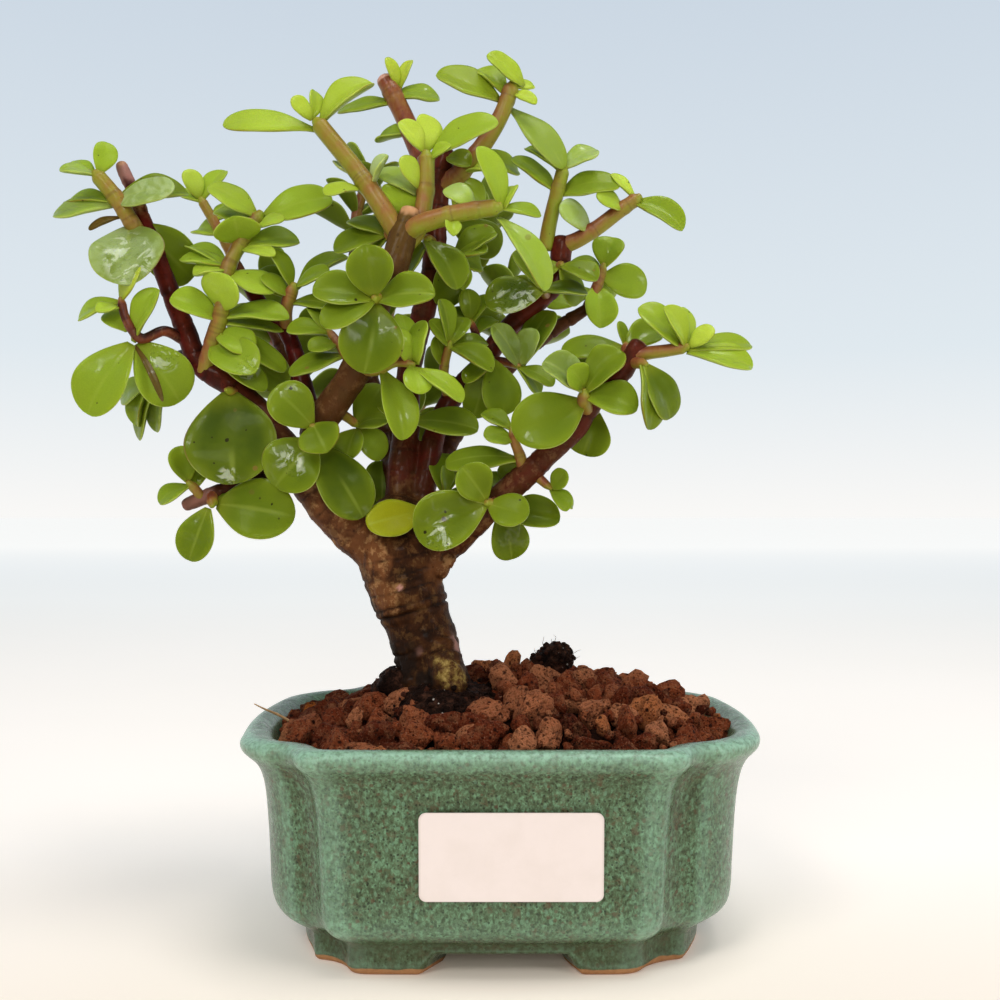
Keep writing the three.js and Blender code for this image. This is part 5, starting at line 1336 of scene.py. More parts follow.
# The shoots.
# each shoot: the points of its stem, the radius at each, then its leaves;
# each leaf: foot and tip as seen on the plane y = 0, how far the tip lies behind the foot, width, roll
shoots = {
    "crown_left": (
        [(-24.8, 169.5, -14.5), (-27.5, 174, -14.8), (-33, 182.5, -13), (-46, 199, -11)],
        [2.5, 2.5, 2.3, 2.1],
        (-46.8, 198.2, -69.8, 199.9, 2, 8.8, 46), (-45.5, 199.8, -32.3, 209.6, 3, 10, 55),
        (-47, 199.5, -52, 205.2, -3, 5, 45), (-46.8, 199.8, -45.9, 207, 3, 4.5, 60),
        (-35, 183, -44, 181.6, -6, 6, 58), (-32.5, 183, -28.7, 190.8, -3, 6, 80),
        (-34, 184.5, -40.5, 189.5, 8, 7, 60),
    ),
    "crown_middle": (
        [(-24.5, 167, -15), (-21, 171, -14), (-18.8, 180, -13), (-18.5, 191, -12)], [2.2, 2.2, 2.1, 2],
        (-17.6, 191.5, -1, 200.3, -2, 10, 48), (-18.6, 191.5, -25, 199.2, -3, 6.5, 50),
        (-18.3, 191.5, -17.2, 200.8, 2, 7.5, 42), (-19.3, 182, -24.5, 190, -5, 7, 60),
        (-24.8, 175.8, -24.2, 183.2, 3, 10.5, 22), (-17.8, 189.5, -12.5, 193.2, -3, 4, 50),
        (-21, 181.5, -31.5, 187.2, 5, 7.5, 52),
    ),
    "front_bough": (
        [(-24.5, 170, -15), (-21, 172.5, -17), (-12, 175.5, -19), (0, 177.5, -20)], [2.4, 2.4, 2.2, 2],
        (1.2, 176.5, -4.5, 193.2, -3, 7.5, 50), (0.5, 176, 12.5, 157.5, -4, 8.8, 54),
        (-13, 175, -11.5, 170.5, -3, 4, 30), (0.8, 177.5, 3.5, 183.2, 3, 5, 60),
        (0.5, 177.5, 10.5, 176, 4, 5, 50), (-6.5, 177.3, -13.4, 183, 3, 6.2, 32),
    ),
    "crown_high": (
        [(-15, 182, 3), (-10, 186, 1), (-5, 192, 0), (0, 200, -1), (3.3, 208.5, -1)],
        [2.4, 2.4, 2.3, 2.1, 1.9],
        (0, 205, -15.8, 211.6, -1, 11, 52), (1.5, 206.5, -5.5, 212.8, 4, 7, 48),
        (6.2, 208, -3, 216.2, -2, 7, 50), (3.3, 208, 8.6, 208.3, 3, 4, 40),
        (2.8, 206.5, 9.2, 203.7, -2, 4, 40), (-6, 190.5, 5, 187, 9, 8, 45),
        (-9.5, 186.5, -2, 187.5, -5, 5, 60), (-11, 185, -4, 177.5, 5, 8, 50),
        (-12, 184.5, -8, 176, 9, 8, 20), (-13.3, 190.6, -7.6, 188.4, -4, 6, 30),
    ),
    "crown_back": (
        [(-16.5, 182, 5), (-21, 193, 12), (-24, 200, 13), (-27, 206, 13.5), (-28.9, 209.3, 14)],
        [2.6, 2.6, 2.5, 2.4, 2.2],
        (-25.4, 207.5, -28, 215.4, -2, 4.2, 50), (-25.4, 207.5, -22.6, 214.8, 2, 4.2, 50),
        (-26.5, 206, -15, 205.5, 2, 9, 60), (-26, 204.5, -41, 202, 4, 8, 65),
        (-22.5, 196.5, -31, 194.5, 6, 7, 66),
    ),
    "crown_right": (
        [(11.5, 167.5, 5.5), (12.2, 172, 4.5), (14.3, 181, 2), (16, 187.5, 1)], [2, 1.9, 1.8, 1.7],
        (3.4, 203.2, 16.6, 188.2, -3, 9.7, 48), (15, 187.5, 6.5, 193, 4, 5.5, 55),
        (15.6, 187.5, 24, 192.3, 3, 8, 54), (14, 182, 3.5, 190.5, 3, 8, 62),
        (14.8, 181.6, 30, 184.2, -1, 9.5, 50),
    ),
    "right_upper": (
        [(15, 167.5, 6), (19, 169, 4.5), (24, 172, 3.5), (30, 176.5, 2.5), (35, 180, 2)],
        [2.3, 2.1, 2, 1.9, 1.7],
        (33.5, 179.4, 46.2, 172.4, -3, 8.5, 44), (34, 179.8, 28, 186, 1, 4, 55),
        (31, 177.5, 24.5, 180.5, -5, 7, 45), (23, 171.5, 15.3, 178.3, -4, 8, 44),
    ),
    "right_knob": (
        [(14.3, 162, 5.5), (15.5, 163, 0)], [1.3, 1.1],
        (15.5, 163, 24.5, 159.5, -3, 8, 52), (15.5, 162.5, 20, 153, 4, 8, 45),
        (15, 163, 7, 159.5, 3, 7, 40),
    ),
    "far_left_tip": (
        [(-89.5, 169, -1), (-92, 173, -3.5), (-96.5, 180, -5), (-101.5, 186, -6)], [2.1, 2, 2, 1.9],
        (-101.5, 186, -110.5, 187.2, -3, 6, 72), (-100.5, 186, -98.3, 193.8, 3, 6, 35),
        (-101.5, 186.3, -107, 189.6, 4, 4, 60), (-96.8, 179, -82, 182.8, -4, 9.5, 45),
        (-96.5, 179.5, -78.2, 182, 7, 10, 50), (-97.5, 178.5, -112.3, 176, 0, 9, 64),
        (-97.5, 179.5, -109, 179, 6, 7, 66), (-95.5, 175.5, -103.3, 172.3, -3, 3, 50),
        (-93.5, 173.5, -93.5, 159, -11, 18, 8), (-91.5, 173, -77, 159, 8, 13, 15),
    ),
    "far_left_low": (
        [(-79, 144, -3), (-84, 146.3, -7), (-90, 144.5, -10), (-93.5, 149, -11), (-95, 154.5, -11)],
        [1.4, 1.3, 1.2, 1.1, 1],
        (-95.5, 154, -90.5, 164.5, -1, 7, 50), (-95.5, 154.3, -106.2, 149.8, 2, 6.5, 58),
        (-95.3, 152.5, -101, 151.5, -4, 5, 60), (-92.5, 143.8, -86.3, 157.2, -2, 7.5, 40),
        (-92.5, 143.3, -103.5, 125.5, -2, 13.5, 10), (-90.5, 143.5, -80, 128.5, 3, 14, 20),
        (-91.5, 143, -84.5, 129, -5, 1.8, 20), (-94, 147, -98.5, 152, 5, 6, 20),
    ),
    "far_left_hanging": (
        [(-77, 141, -3), (-83, 139, 3), (-88, 134.5, 6)], [1.4, 1.2, 1],
        (-88, 134.5, -95.5, 129, 2, 8, 50), (-88, 134, -91.5, 122.5, 1, 8, 60),
        (-86.5, 135.5, -91.5, 119.2, 5, 9, 66), (-84, 138, -87, 121, 4, 8, 55),
    ),
    "left_fork": (
        [
            (-74, 136.5, -5), (-71.5, 145, -7), (-70, 150, -8), (-68.5, 161, -7), (-65.5, 167.5, -6),
            (-60, 176, -6),
        ], [2.2, 2, 1.9, 1.8, 1.8, 1.6],
        (-60.5, 175.5, -72.8, 183.5, -2, 9, 62), (-60, 175.5, -42.3, 180.8, 1, 10.5, 36),
        (-65.3, 168.3, -66.6, 174.8, -6, 11.5, 22), (-61.5, 173.5, -71, 177.5, 7, 8, 50),
        (-61.5, 173, -54.3, 175, -3, 6, 65), (-64.8, 168.5, -50.2, 169.5, 4, 9, 58),
        (-65.2, 167.5, -56.5, 166, -4, 5, 60), (-68, 163, -80, 165, 2, 8, 75),
        (-68, 162.5, -78, 168, 7, 7, 70), (-68, 162, -77, 161, -3, 7, 72),
        (-68.5, 161, -56.3, 156.5, -2, 9, 58), (-70.5, 151.5, -68.6, 160.2, -5, 11.5, 22),
        (-70, 150.5, -53, 150.5, -2, 8, 62), (-70, 149, -53.8, 147.3, 4, 6, 72),
        (-70.3, 149.5, -82.5, 155, -3, 9, 55), (-71.3, 146.5, -62, 142, -5, 8, 40),
        (-72, 144, -61.5, 136.5, -9, 11, 35), (-72, 143.5, -58.5, 132, -4, 8, 50),
        (-71.2, 147.5, -53.5, 136.7, 0, 8, 62), (-71.5, 145, -52.5, 133, 8, 11, 25),
    ),
    "left_inner": (
        [(-53.5, 146, -2), (-53.5, 152, -5), (-51.5, 158, -6)], [1.7, 1.6, 1.5],
        (-51.8, 157.5, -56.5, 167, -1, 6, 68), (-51.3, 157.8, -43, 162, -3, 7, 65),
        (-51.3, 158, -38.5, 166, 6, 8, 60), (-52.3, 155.5, -59.5, 160.5, -3, 6, 62),
        (-52.5, 155, -61, 161.5, 5, 8, 30), (-52.7, 154, -42, 153, -2, 6, 62),
    ),
    "rosette": (
        [(-30, 154.5, -16), (-31.5, 154.5, -22.5)], [1.6, 1.4],
        (-31.6, 155, -33.5, 168, -4, 11, 10), (-32, 154.8, -47, 157, -3, 10, 40),
        (-31.8, 154.3, -44.5, 148, -6, 9, 38), (-31, 154.6, -16.5, 156, -4, 10, 35),
        (-31.3, 153.5, -34, 135.9, -3, 15, 10),
    ),
    "middle_left": (
        [(-36.5, 136, -14), (-39, 141, -12), (-43, 146.5, -10)], [1.3, 1.2, 1],
        (-43, 146.5, -53.5, 147.3, -1, 7, 62), (-41, 143.5, -47.7, 142, -5, 6, 50),
        (-39, 140.8, -53, 136, -3, 8, 65), (-43, 146.5, -46, 154, 6, 7, 40),
    ),
    "stub_left": (
        [(-25, 167.5, -15), (-28.5, 171, -10)], [1.4, 1.2],
        (-28.5, 171, -41.9, 167, 0, 10, 58), (-28.5, 171.3, -37.8, 175, 3, 8, 66),
        (-28.3, 170.8, -35, 164.5, 5, 8, 40),
    ),
    "centre_high": (
        [(-16.7, 167, 3), (-17.5, 169, -5), (-18.5, 169.5, -9)], [1.5, 1.3, 1.2],
        (-18.5, 169.5, -10.3, 157.3, -3, 10, 48), (-18.5, 169, -24.5, 159.5, 3, 7, 50),
    ),
    "centre_right": (
        [(-16.3, 163, 3), (-12, 165, -1)], [1.4, 1.2],
        (-12, 165, -1, 171.5, -2, 9, 55), (-12, 165, -3.5, 167, -6, 7, 66),
        (-12, 164.5, -4.5, 163, 5, 8, 40), (-12.5, 164.5, -9, 157, -4, 6, 40),
        (-13.5, 164, -13.5, 152, 2, 9, 30),
    ),
    "middle_twig": (
        [(-13, 129, 4), (-14, 137, -3), (-12.5, 143.5, -7)], [1.3, 1.2, 1],
        (-12.5, 143.5, -14.5, 154.5, -2, 6, 65), (-12.3, 143, -1.7, 137, -3, 8, 60),
        (-12.5, 142.5, -17.5, 149, -4, 5, 50), (-12.5, 142.5, -3, 143.5, 4, 6, 62),
        (-12.3, 143.5, -8.5, 150, 3, 5, 30), (-14, 137.5, -16, 145, -3, 6, 40),
    ),
    "purple_twig": (
        [(-4.5, 138, 4), (-5.5, 144, 2), (-7.5, 149, 0)], [1.1, 1, 0.9],
        (-7.5, 149, -8, 157, -1, 6, 30), (-7.3, 148.8, -3, 156, 3, 5, 45),
        (-7.3, 148.5, -13, 152, 3, 5, 55), (-6, 146, -1, 149.5, 3, 5, 50),
    ),
    "front_twig": (
        [(-35.5, 137, -14), (-31, 136.3, -17.5), (-26, 138.3, -19), (-21.5, 138, -20)], [1.4, 1.2, 1, 0.9],
        (-21.5, 138, -19.8, 149.2, -1, 7, 65), (-21.5, 137.8, -9, 129.3, -2, 7, 66),
        (-22, 137.8, -20, 130.8, -5, 7, 40), (-22.5, 138.3, -26, 147, -2, 6, 50),
        (-22, 138.5, -24.5, 151, 4, 7, 60), (-29.5, 137, -23.8, 119.3, -3, 9, 38),
    ),
    "low_centre": (
        [(-42, 126.5, -11), (-38, 124.5, -6), (-35.5, 122.5, -4)], [1.3, 1.2, 1],
        (-36, 123, -29.5, 133, 3, 9, 15), (-36, 122.8, -28, 124.5, -2, 7, 60),
        (-35.5, 122.3, -29, 114.5, 2, 8, 40), (-36, 122, -38.5, 114.3, -3, 9, 30),
    ),
    "cross_leaf": (
        [(-23.8, 120.5, 3), (-22, 124, -4.5)], [1.4, 1.2],
        (-21.8, 124.2, -5.5, 122, -4, 10, 55), (-22, 124, -29.5, 130, 3, 8, 30),
    ),
    "spotted_leaf": (
        [(-4.3, 138, 4), (-2, 139.5, -3)], [1.3, 1.1],
        (-2, 139.5, 1, 125.3, -3, 10, 18), (-2.3, 139, -7, 124.5, 3, 9, 15),
        (-2.3, 139.2, -9, 134, -4, 6, 50),
    ),
    "grey_twig": (
        [(-3.6, 139, 4), (1, 138.6, 0), (5, 137.5, -2)], [1.2, 1.1, 0.9],
        (5, 137.6, -1.5, 148, -3, 7, 42), (5.2, 137.8, 8.5, 147, -2, 7, 42),
        (5, 137.5, 13.5, 133, -3, 6, 55), (4.8, 137.5, 10.3, 130.5, 2, 6, 60),
        (5, 137.8, 12.5, 152, 5, 9, 45),
    ),
    "glossy_leaf": (
        [(11.5, 155, 5), (10.8, 157, -2)], [1.4, 1.2],
        (10.6, 157, -3.5, 153.5, -3, 11, 32), (10.5, 157.3, 4, 166.5, 3, 7, 40),
        (10.8, 157, 22, 156.5, 2, 7, 66),
    ),
    "right_low_twig": (
        [(6, 110, -12), (5, 115, -14), (3.5, 119, -15), (2.8, 122, -15)], [1.5, 1.3, 1.1, 0.9],
        (2.9, 122, -4.5, 126, 2, 6, 62), (3.4, 119.3, -4, 120.5, -3, 6, 55),
        (4.9, 115, -13.8, 113.8, -1, 9, 62), (5, 114.5, 0.5, 107.5, 7, 6, 30),
    ),
    "low_right_cluster": (
        [(0, 104.5, -10), (-2, 103, -15), (-3.4, 103.3, -17)], [1.5, 1.4, 1.3],
        (-3.6, 103.2, -21, 95, -3, 14, 12), (-3.4, 103.8, -9.5, 112.3, -2, 9.5, 20),
        (-3.4, 103.6, -12.5, 105.5, 3, 5, 66), (-3, 103.1, 7, 100.3, -4, 9, 30),
    ),
    "low_right_back": (
        [(0, 104, -10), (0.5, 101.5, -4.5)], [1.5, 1.2],
        (0.5, 101.5, 15, 99.3, -3, 9, 35), (0.3, 101.2, 3, 89, 2, 10, 20),
        (0.5, 101.5, -3, 111.5, 5, 8, 30),
    ),
    "inner_twig": (
        [(-19.3, 105, 0.5), (-13.5, 105.8, -1.5)], [1, 0.8],
        (-13.5, 105.8, -13.8, 112.5, -2, 4.5, 60), (-13.7, 105.8, -13.5, 116, 4, 9, 20),
        (-13.3, 105.6, -8.5, 104, 3, 5, 50),
    ),
    "old_leaf": (
        [(-22, 97.5, -2), (-19.5, 101.5, -9.5)], [1.3, 1.1],
        (-19.3, 101.7, -33.3, 98, -5, 10, 32),
    ),
    "dark_leaf": (
        [(-26, 101, -1), (-30, 103, 3.5)], [1.2, 1],
        (-29.7, 103, -29.5, 114, 2, 9, 15), (-30, 103, -36, 106, 3, 7, 40),
    ),
    "big_round_leaf": (
        [(-65, 130.5, -5.5), (-68.6, 131.6, -11)], [1.6, 0.9],
        (-68, 131.5, -66.8, 108.3, -6, 22, 5),
    ),
    "low_front": (
        [(-48.5, 115, -6.5), (-46.7, 119.5, -14), (-46.8, 122.5, -16)], [1.9, 1.7, 1.5],
        (-46.9, 122.5, -56.5, 132, -3, 11, 15), (-46.8, 123, -43.5, 116.2, -5, 10.5, 5),
        (-46.6, 119, -56.5, 107.5, -2, 15, 12), (-46.3, 118.5, -34, 100, -2, 13, 30),
    ),
    "low_left_tip": (
        [(-74.5, 104.5, -8.5), (-76, 106.5, -10), (-78, 108.5, -11)], [1.4, 1.2, 1.1],
        (-78, 108.5, -80.5, 117.5, -1, 7, 30), (-78, 108, -85.5, 103.5, -2, 7, 60),
        (-76.3, 107, -76, 113.5, 4, 6, 30),
    ),
    "low_left_pair": (
        [(-71.8, 105.5, -8.5), (-72, 102.6, -12.5)], [1.5, 1.2],
        (-73.2, 102, -78, 88.8, 0, 9.5, 12), (-71, 103.2, -51.5, 100, -2, 15, 15),
        (-71, 103.5, -61, 110.5, 6, 9, 50),
    ),
    "right_tip": (
        [(33.5, 140, -20), (37, 140.8, -21), (41, 141.3, -21), (47, 142.3, -22)], [2, 1.6, 1.5, 1.4],
        (46.5, 142.3, 35.3, 153, 1, 9, 50), (46.8, 142.5, 41.5, 152.5, -4, 7, 55),
        (47, 142.5, 46.5, 152.5, 4, 5, 45), (47, 142.5, 53.3, 147.5, -2, 5, 45),
        (47, 142.2, 63, 143.5, 4, 8, 66), (47, 142, 63.6, 138, -2, 9, 58),
    ),
    "right_tip_left": (
        [(32, 139, -19.5), (31.5, 143, -15.5)], [1.5, 1.2],
        (31.3, 142.8, 15.3, 142, 0, 9, 60), (31.5, 142.8, 40, 147, 3, 8, 30),
        (31, 142.3, 18, 137.5, 5, 8, 45), (31.4, 143, 30.3, 149, 2, 3, 40),
    ),
    "right_hanging": (
        [(33, 138.5, -20), (36.5, 138, -25)], [1.5, 1.2],
        (36.5, 138, 38.2, 121.8, -3, 9, 64), (36.8, 138, 42.8, 124.3, 1, 11, 55),
    ),
    "right_middle": (
        [(22, 126, -17), (21, 129, -21), (21, 131.5, -22)], [1.7, 1.5, 1.3],
        (21, 131.5, 11, 139, -1, 10, 50), (21.2, 131.5, 30.5, 141.5, -1, 10, 50),
        (21, 131.8, 17.5, 137, -4, 7, 30), (21.3, 130.5, 34.5, 127.3, -3, 10, 42),
        (20.8, 128.8, 3.5, 120.5, -3, 14, 20), (21, 129.5, 33, 130.5, 7, 7, 40),
    ),
    "right_under": (
        [(22.7, 127.5, -17), (24.3, 126, -12)], [1.4, 1.1],
        (24.2, 126, 20.5, 115.2, 2, 11, 12),
    ),
    "right_low_bud": (
        [(8, 111, -13), (12.8, 106.8, -14)], [1.4, 0.9],
        (12.8, 106.9, 16.5, 111.2, -3, 5, 30), (12.8, 106.7, 17, 101.5, -2, 5, 40),
        (13, 106.8, 18.5, 102.3, 4, 4, 55),
    ),
    "back_right": (
        [(21.5, 151.5, 24), (24.5, 158, 25), (26, 163, 25)], [1.5, 1.4, 1.2],
        (26, 162.5, 28.3, 170, 2, 9, 20), (25.5, 160, 37, 157.5, 2, 10.5, 20),
        (24.5, 158, 25.5, 147.5, -4, 9.5, 20), (24, 157, 11.5, 153.5, -5, 8, 35),
        (25.5, 161, 17.5, 164, 4, 8, 50), (24.8, 158.5, 28, 153, 8, 9, 40),
    ),
    "back_left": (
        [(-65.5, 161.5, 20), (-68.5, 168, 20), (-75, 179.5, 20)], [1.5, 1.4, 1.3],
        (-75, 179.5, -78.5, 187, -2, 6, 45), (-75, 179.5, -69, 187, 3, 7, 45),
        (-75, 179, -81, 181.5, 2, 5, 60), (-72, 174.3, -65, 178, 5, 7, 50), (-70, 171, -76, 172, 6, 8, 50),
        (-68.5, 168, -61, 170.5, 4, 8, 50),
    ),
}
# at the back, opposite pairs grown by rule: stem, length of the lowest leaves, seed
grownShoots = {
    "far_side_left": ([(-53, 140, 17), (-58, 147, 27), (-59, 158, 33)], 15, 3),
    "far_side_low": ([(-48.5, 127, 11), (-50, 134, 22), (-49, 143, 29)], 16, 8),
    "far_side_middle": ([(-34, 140, 23), (-28, 150, 32), (-26, 161, 36)], 15, 14),
    "far_side_crown": ([(-36.3, 166, 28), (-36, 175, 30), (-33, 185, 30)], 14, 21),
    "far_side_inner": ([(-27.5, 117, 9), (-22, 124, 20), (-17, 133, 26)], 14, 27),
    "far_side_right": ([(4, 138.5, 21), (4, 148, 30), (2, 159, 34)], 15, 33),
    "far_side_top": ([(-16, 175, 4), (-9, 172, 15), (-4, 176, 23)], 14, 41),
}
grownTwig = {"radii": [1.7, 1.5, 1.2], "pairs": 4}
sunward = (-0.45, -0.2, 0.87)
# age from 0 (young, lime) to 1 (old, dark), how much the leaves are yellowed, and how red the twig is
shootLooks = {
    "crown_left": (0.12, 0.1, 0.3), "crown_middle": (0.2, 0.05, 0.36), "front_bough": (0.3, 0.0, 0.28),
    "crown_high": (0.18, 0.1, 0.42), "crown_back": (0.3, 0.0, 0.6), "crown_right": (0.28, 0.0, 0.2),
    "right_upper": (0.3, 0.0, 0.42), "far_left_tip": (0.3, 0.0, 0.36), "right_tip": (0.15, 0.1, 0.4),
    "front_twig": (0.25, 0.05, 0.4), "left_fork": (0.22, 0.0, 0.35), "old_leaf": (0.5, 0.8, 0.5),
    "far_left_low": (0.25, 0.0, 0.85), "far_left_hanging": (0.35, 0.0, 0.8), "back_left": (0.15, 0.0, 0.4),
    "back_right": (0.3, 0.0, 0.5), "big_round_leaf": (0.85, 0.0, 0.6), "dark_leaf": (0.95, 0.0, 0.6),
    "purple_twig": (0.7, 0.0, 0.95), "grey_twig": (0.6, 0.0, 0.7), "low_front": (0.65, 0.0, 0.5),
    "low_right_cluster": (0.6, 0.05, 0.55), "low_right_back": (0.7, 0.0, 0.6),
    "glossy_leaf": (0.85, 0.0, 0.6), "right_middle": (0.5, 0.0, 0.5), "right_hanging": (0.6, 0.0, 0.5),
    "usual": (0.55, 0.0, 0.5),
}
# whole-leaf exceptions: for each shoot, the number of the leaf and what differs; pale paints a reflection of
# the sky on the leaf
leafLooks = {
    "crown_left": {0: {"age": 0.16, "lime": 0.0, "cup": 0.2}, 5: {"pale": 0.7}, 6: {"pale": 0.6}},
    "crown_back": {0: {"age": 0.0, "lime": 0.3}, 1: {"age": 0.0, "lime": 0.3}},
    "crown_middle": {0: {"age": 0.25}, 1: {"age": 0.0}, 2: {"age": 0.0}, 4: {"age": 0.35}, 6: {"pale": 0.3}},
    "crown_high": {9: {"age": 0.7}},
    "crown_right": {0: {"pale": 0.12}, 2: {"pale": 0.4}},
    "front_bough": {0: {"age": 0.12}, 1: {"age": 0.36, "pale": 0.12}, 5: {"pale": 0.35}},
    "left_fork": {0: {"age": 0.12}, 1: {"age": 0.15}, 2: {"age": 0.4}},
    "far_left_hanging": {0: {"pale": 0.25}, 3: {"pale": 0.2}},
    "far_left_tip": {
        0: {"pale": 0.25}, 3: {"pale": 0.6}, 4: {"age": 0.8}, 5: {"pale": 0.2}, 7: {"dry": 0.9},
        8: {"age": 0.55, "pale": 0.4}, 9: {"age": 0.55},
    },
    "far_left_low": {0: {"age": 0.0, "lime": 0.3}, 6: {"dry": 0.9}},
    "right_upper": {1: {"age": 0.0}, 3: {"pale": 0.7}},
    "grey_twig": {0: {"pale": 0.2}, 1: {"pale": 0.2}},
    "right_middle": {0: {"pale": 0.3}},
}
leafForm = {
    "rows": 20, "around": 20, "petiole": 0.17, "broadest": 0.6, "cup": 0.32, "arch": 0.065, "turned": 0.76,
    "plump": 0.055, "thinnest": 0.65, "thickest": 1.15, "groove": 0.16, "twist": 0.05, "uneven": 0.07,
}


def hashOf(n):
    n = math.sin(n * 12.9898) * 43758.5453
    return n - math.floor(n)


def faceNormal(base, tip, roll):  # the way a leaf's face looks, rolled up from facing the front
    along = unit(tip - base)
    toEye = np.array([0, -1.0, 0])
    facing = unit(toEye - along * toEye.dot(along))
    side = unit(np.cross(facing, along))
    if (side[0] if abs(side[2]) < 0.15 else side[2]) < 0:
        side = -side
    return facing * math.cos(roll) + side * math.sin(roll)


def readLeaves(stem, leaves):
    flat, _, _ = smoothPath(stem, np.ones(len(stem)), 0.4)
    found = []
    for u0, w0, u1, w1, dy, width, roll in leaves:
        root = flat[np.hypot(flat[:, 0] - u0, flat[:, 1] - w0).argmin()]
        base, tip = seen(u0, w0, root[2]), seen(u1, w1, root[2] + dy)
        found.append((base, tip, width, faceNormal(base, tip, math.radians(roll * leafForm["turned"]))))
    return found


def grownLeaves(points, leaf, seed):  # opposite pairs up a twig, each turned across the one below
    path, _, _ = smoothPath(points, grownTwig["radii"], 0.2)
    tangents, _, _ = framesAlong(path)
    pairs, found = grownTwig["pairs"], []
    for k in range(pairs):
        i = int(round((0.3 + 0.7 * k / (pairs - 1)) * (len(path) - 1)))
        base, up = path[i], tangents[i]
        side = unit(np.cross((0, 0, 1), up))
        turn = (k % 2) * math.pi / 2 + 0.5 * hashOf(seed + k)
        for hand in (0, math.pi):
            outward = side * math.cos(turn + hand) + np.cross(up, side) * math.sin(turn + hand)
            rise = 0.45 + 0.5 * k / pairs + 0.2 * hashOf(seed * 3 + k)
            length = leaf * (1 - 0.09 * k) * (0.88 + 0.24 * hashOf(seed * 5 + k + hand))
            along = unit(outward + up * rise)
            normal = unit(up - along * up.dot(along))
            found.append((base, base + along * length, length * 0.68, normal))
    return found


def leafOutline(width, length, chance):  # places along the leaf, its half width and its thickness there
    s = 1 - (1 - np.linspace(0, 1, leafForm["rows"])) ** 1.7
    s = 0.5 * s + 0.5 * np.linspace(0, 1, leafForm["rows"])
    s[-1] = 0.992
    broadest = leafForm["broadest"] + chance.uniform(-0.05, 0.05)
    steep = 1.0 if width / length > 0.55 else 1.2
    rise = np.sin(np.pi / 2 * np.clip(s / broadest, 0, 1) ** steep)
    past = np.clip((s - broadest) / (1 - broadest), 0, 1)
    fall = np.sqrt(np.clip(1 - past ** chance.uniform(1.9, 2.4), 0, 1))
    petiole = min(0.45, max(leafForm["petiole"], 0.9 / width))
    half = width / 2 * np.where(s < broadest, petiole + (1 - petiole) * rise, fall)
    deep = np.clip(leafForm["plump"] * width + 0.45, leafForm["thinnest"], leafForm["thickest"])
    thick = deep * (0.6 + 0.4 * smoothStep(0, 0.35, s)) * np.sqrt(1 - np.clip(s, 0, 0.995) ** 6)
    return s[:, None], np.maximum(half, 0.12)[:, None], thick[:, None]


def leafPart(leaf, seed, look):
    base, tip, width, normal = leaf
    chance = np.random.default_rng(seed)
    cup = leafForm["cup"] * look.pop("cup", chance.uniform(0.25, 1.6))
    length = np.linalg.norm(tip - base)
    along = unit(tip - base)
    across = unit(np.cross(along, normal))
    s, half, thick = leafOutline(width, length, chance)
    angle = turnsOf(leafForm["around"])
    cosine, sine = np.cos(angle), np.sin(angle)
    section = np.sign(sine) * np.abs(sine) ** 0.85
    z = thick * section * np.where(sine > 0, 0.75, 1.15)
    groove = leafForm["groove"] * thick * bell(cosine / 0.22) * (sine > 0.5) * smoothStep(0.02, 0.3, s)
    z += cup * half * np.abs(cosine) ** 1.3 - groove * (1 - 0.7 * s)
    x = half * cosine + chance.uniform(-0.035, 0.035) * length * 4 * s * (1 - s)
    z -= leafForm["arch"] * length * chance.uniform(0.6, 1.5) * (2 * s - 1) ** 2
    wave = np.sin(3.0 * s * np.pi + chance.uniform(0, 6))
    z += leafForm["twist"] * half * wave * cosine * chance.uniform(0.3, 1.3)
    rings = base + (s * length)[..., None] * along + x[..., None] * across + z[..., None] * normal
    uneven = leafForm["uneven"] * rough(rings.reshape(-1, 3) + seed, 3.2, 8, 2)
    rings += uneven.reshape(x.shape)[..., None] * normal
    point = rings[-1].mean(0) + along * 0.004 * length
    part = closedSkin(rings[:, ::-1], rings[0].mean(0), point)  # turned round, so that faces look outwards
    for key, field in (("along", s), ("across", cosine), ("side", sine)):
        part["values"][key] = np.concatenate([np.broadcast_to(field, x.shape)[:, ::-1].ravel(), [0, 1]])
    part["values"]["seed"] = chance.uniform(0, 3)
    part["values"].update(look, age=np.clip(look["age"] + chance.uniform(-0.1, 0.1), 0, 1))
    scale = eye["distance"] / (eye["distance"] + part["verts"][:, 1])
    part["values"]["seenX"] = part["verts"][:, 0] * scale
    part["values"]["seenZ"] = (part["verts"][:, 2] - eye["height"]) * scale + eye["height"]
    return part


def twigPart(points, radii, leaves, flush, cut):
    path, _, s = smoothPath(points, radii, 0.45)
    joints = sorted(s[np.linalg.norm(path - leaf[0], axis=1).argmin()] for leaf in leaves)

    def swell(t):  # knots where the leaves sit, and a tip that tapers unless it is cut
        knots = sum(bell((t - joint) / 0.8) for joint in joints).clip(0, 1.2)
        return (1 + 0.07 * knots) * (1 - 0.45 * (1 - cut) * smoothStep(s[-1] - 1.6, s[-1] + 0.2, t))

    part = tube(points, radii, 0.4, 12, swell)
    along = part["values"]["along"]
    ring = np.max([bell((along - joint - 0.9) / 0.22) for joint in joints], axis=0)
    tipward = (1 - cut) * smoothStep(s[-1] - 2.2, s[-1], along)
    nearest = np.linalg.norm(part["verts"][:, None] - path[None], axis=2).argmin(axis=1)
    outward = part["verts"] - path[nearest]
    outward /= np.maximum(np.linalg.norm(outward, axis=1), 1e-6)[:, None]
    part["values"] = {
        "cut": cut * (along > s[-1] - 0.3),
        "sunny": outward @ sunward,
        "ring": ring * (1 - tipward),
        "flush": np.clip((flush + 0.14 * (0.5 - along / s[-1])) * (1 - 0.6 * tipward), 0, 1),
    }
    part["slot"] = 1
    return part


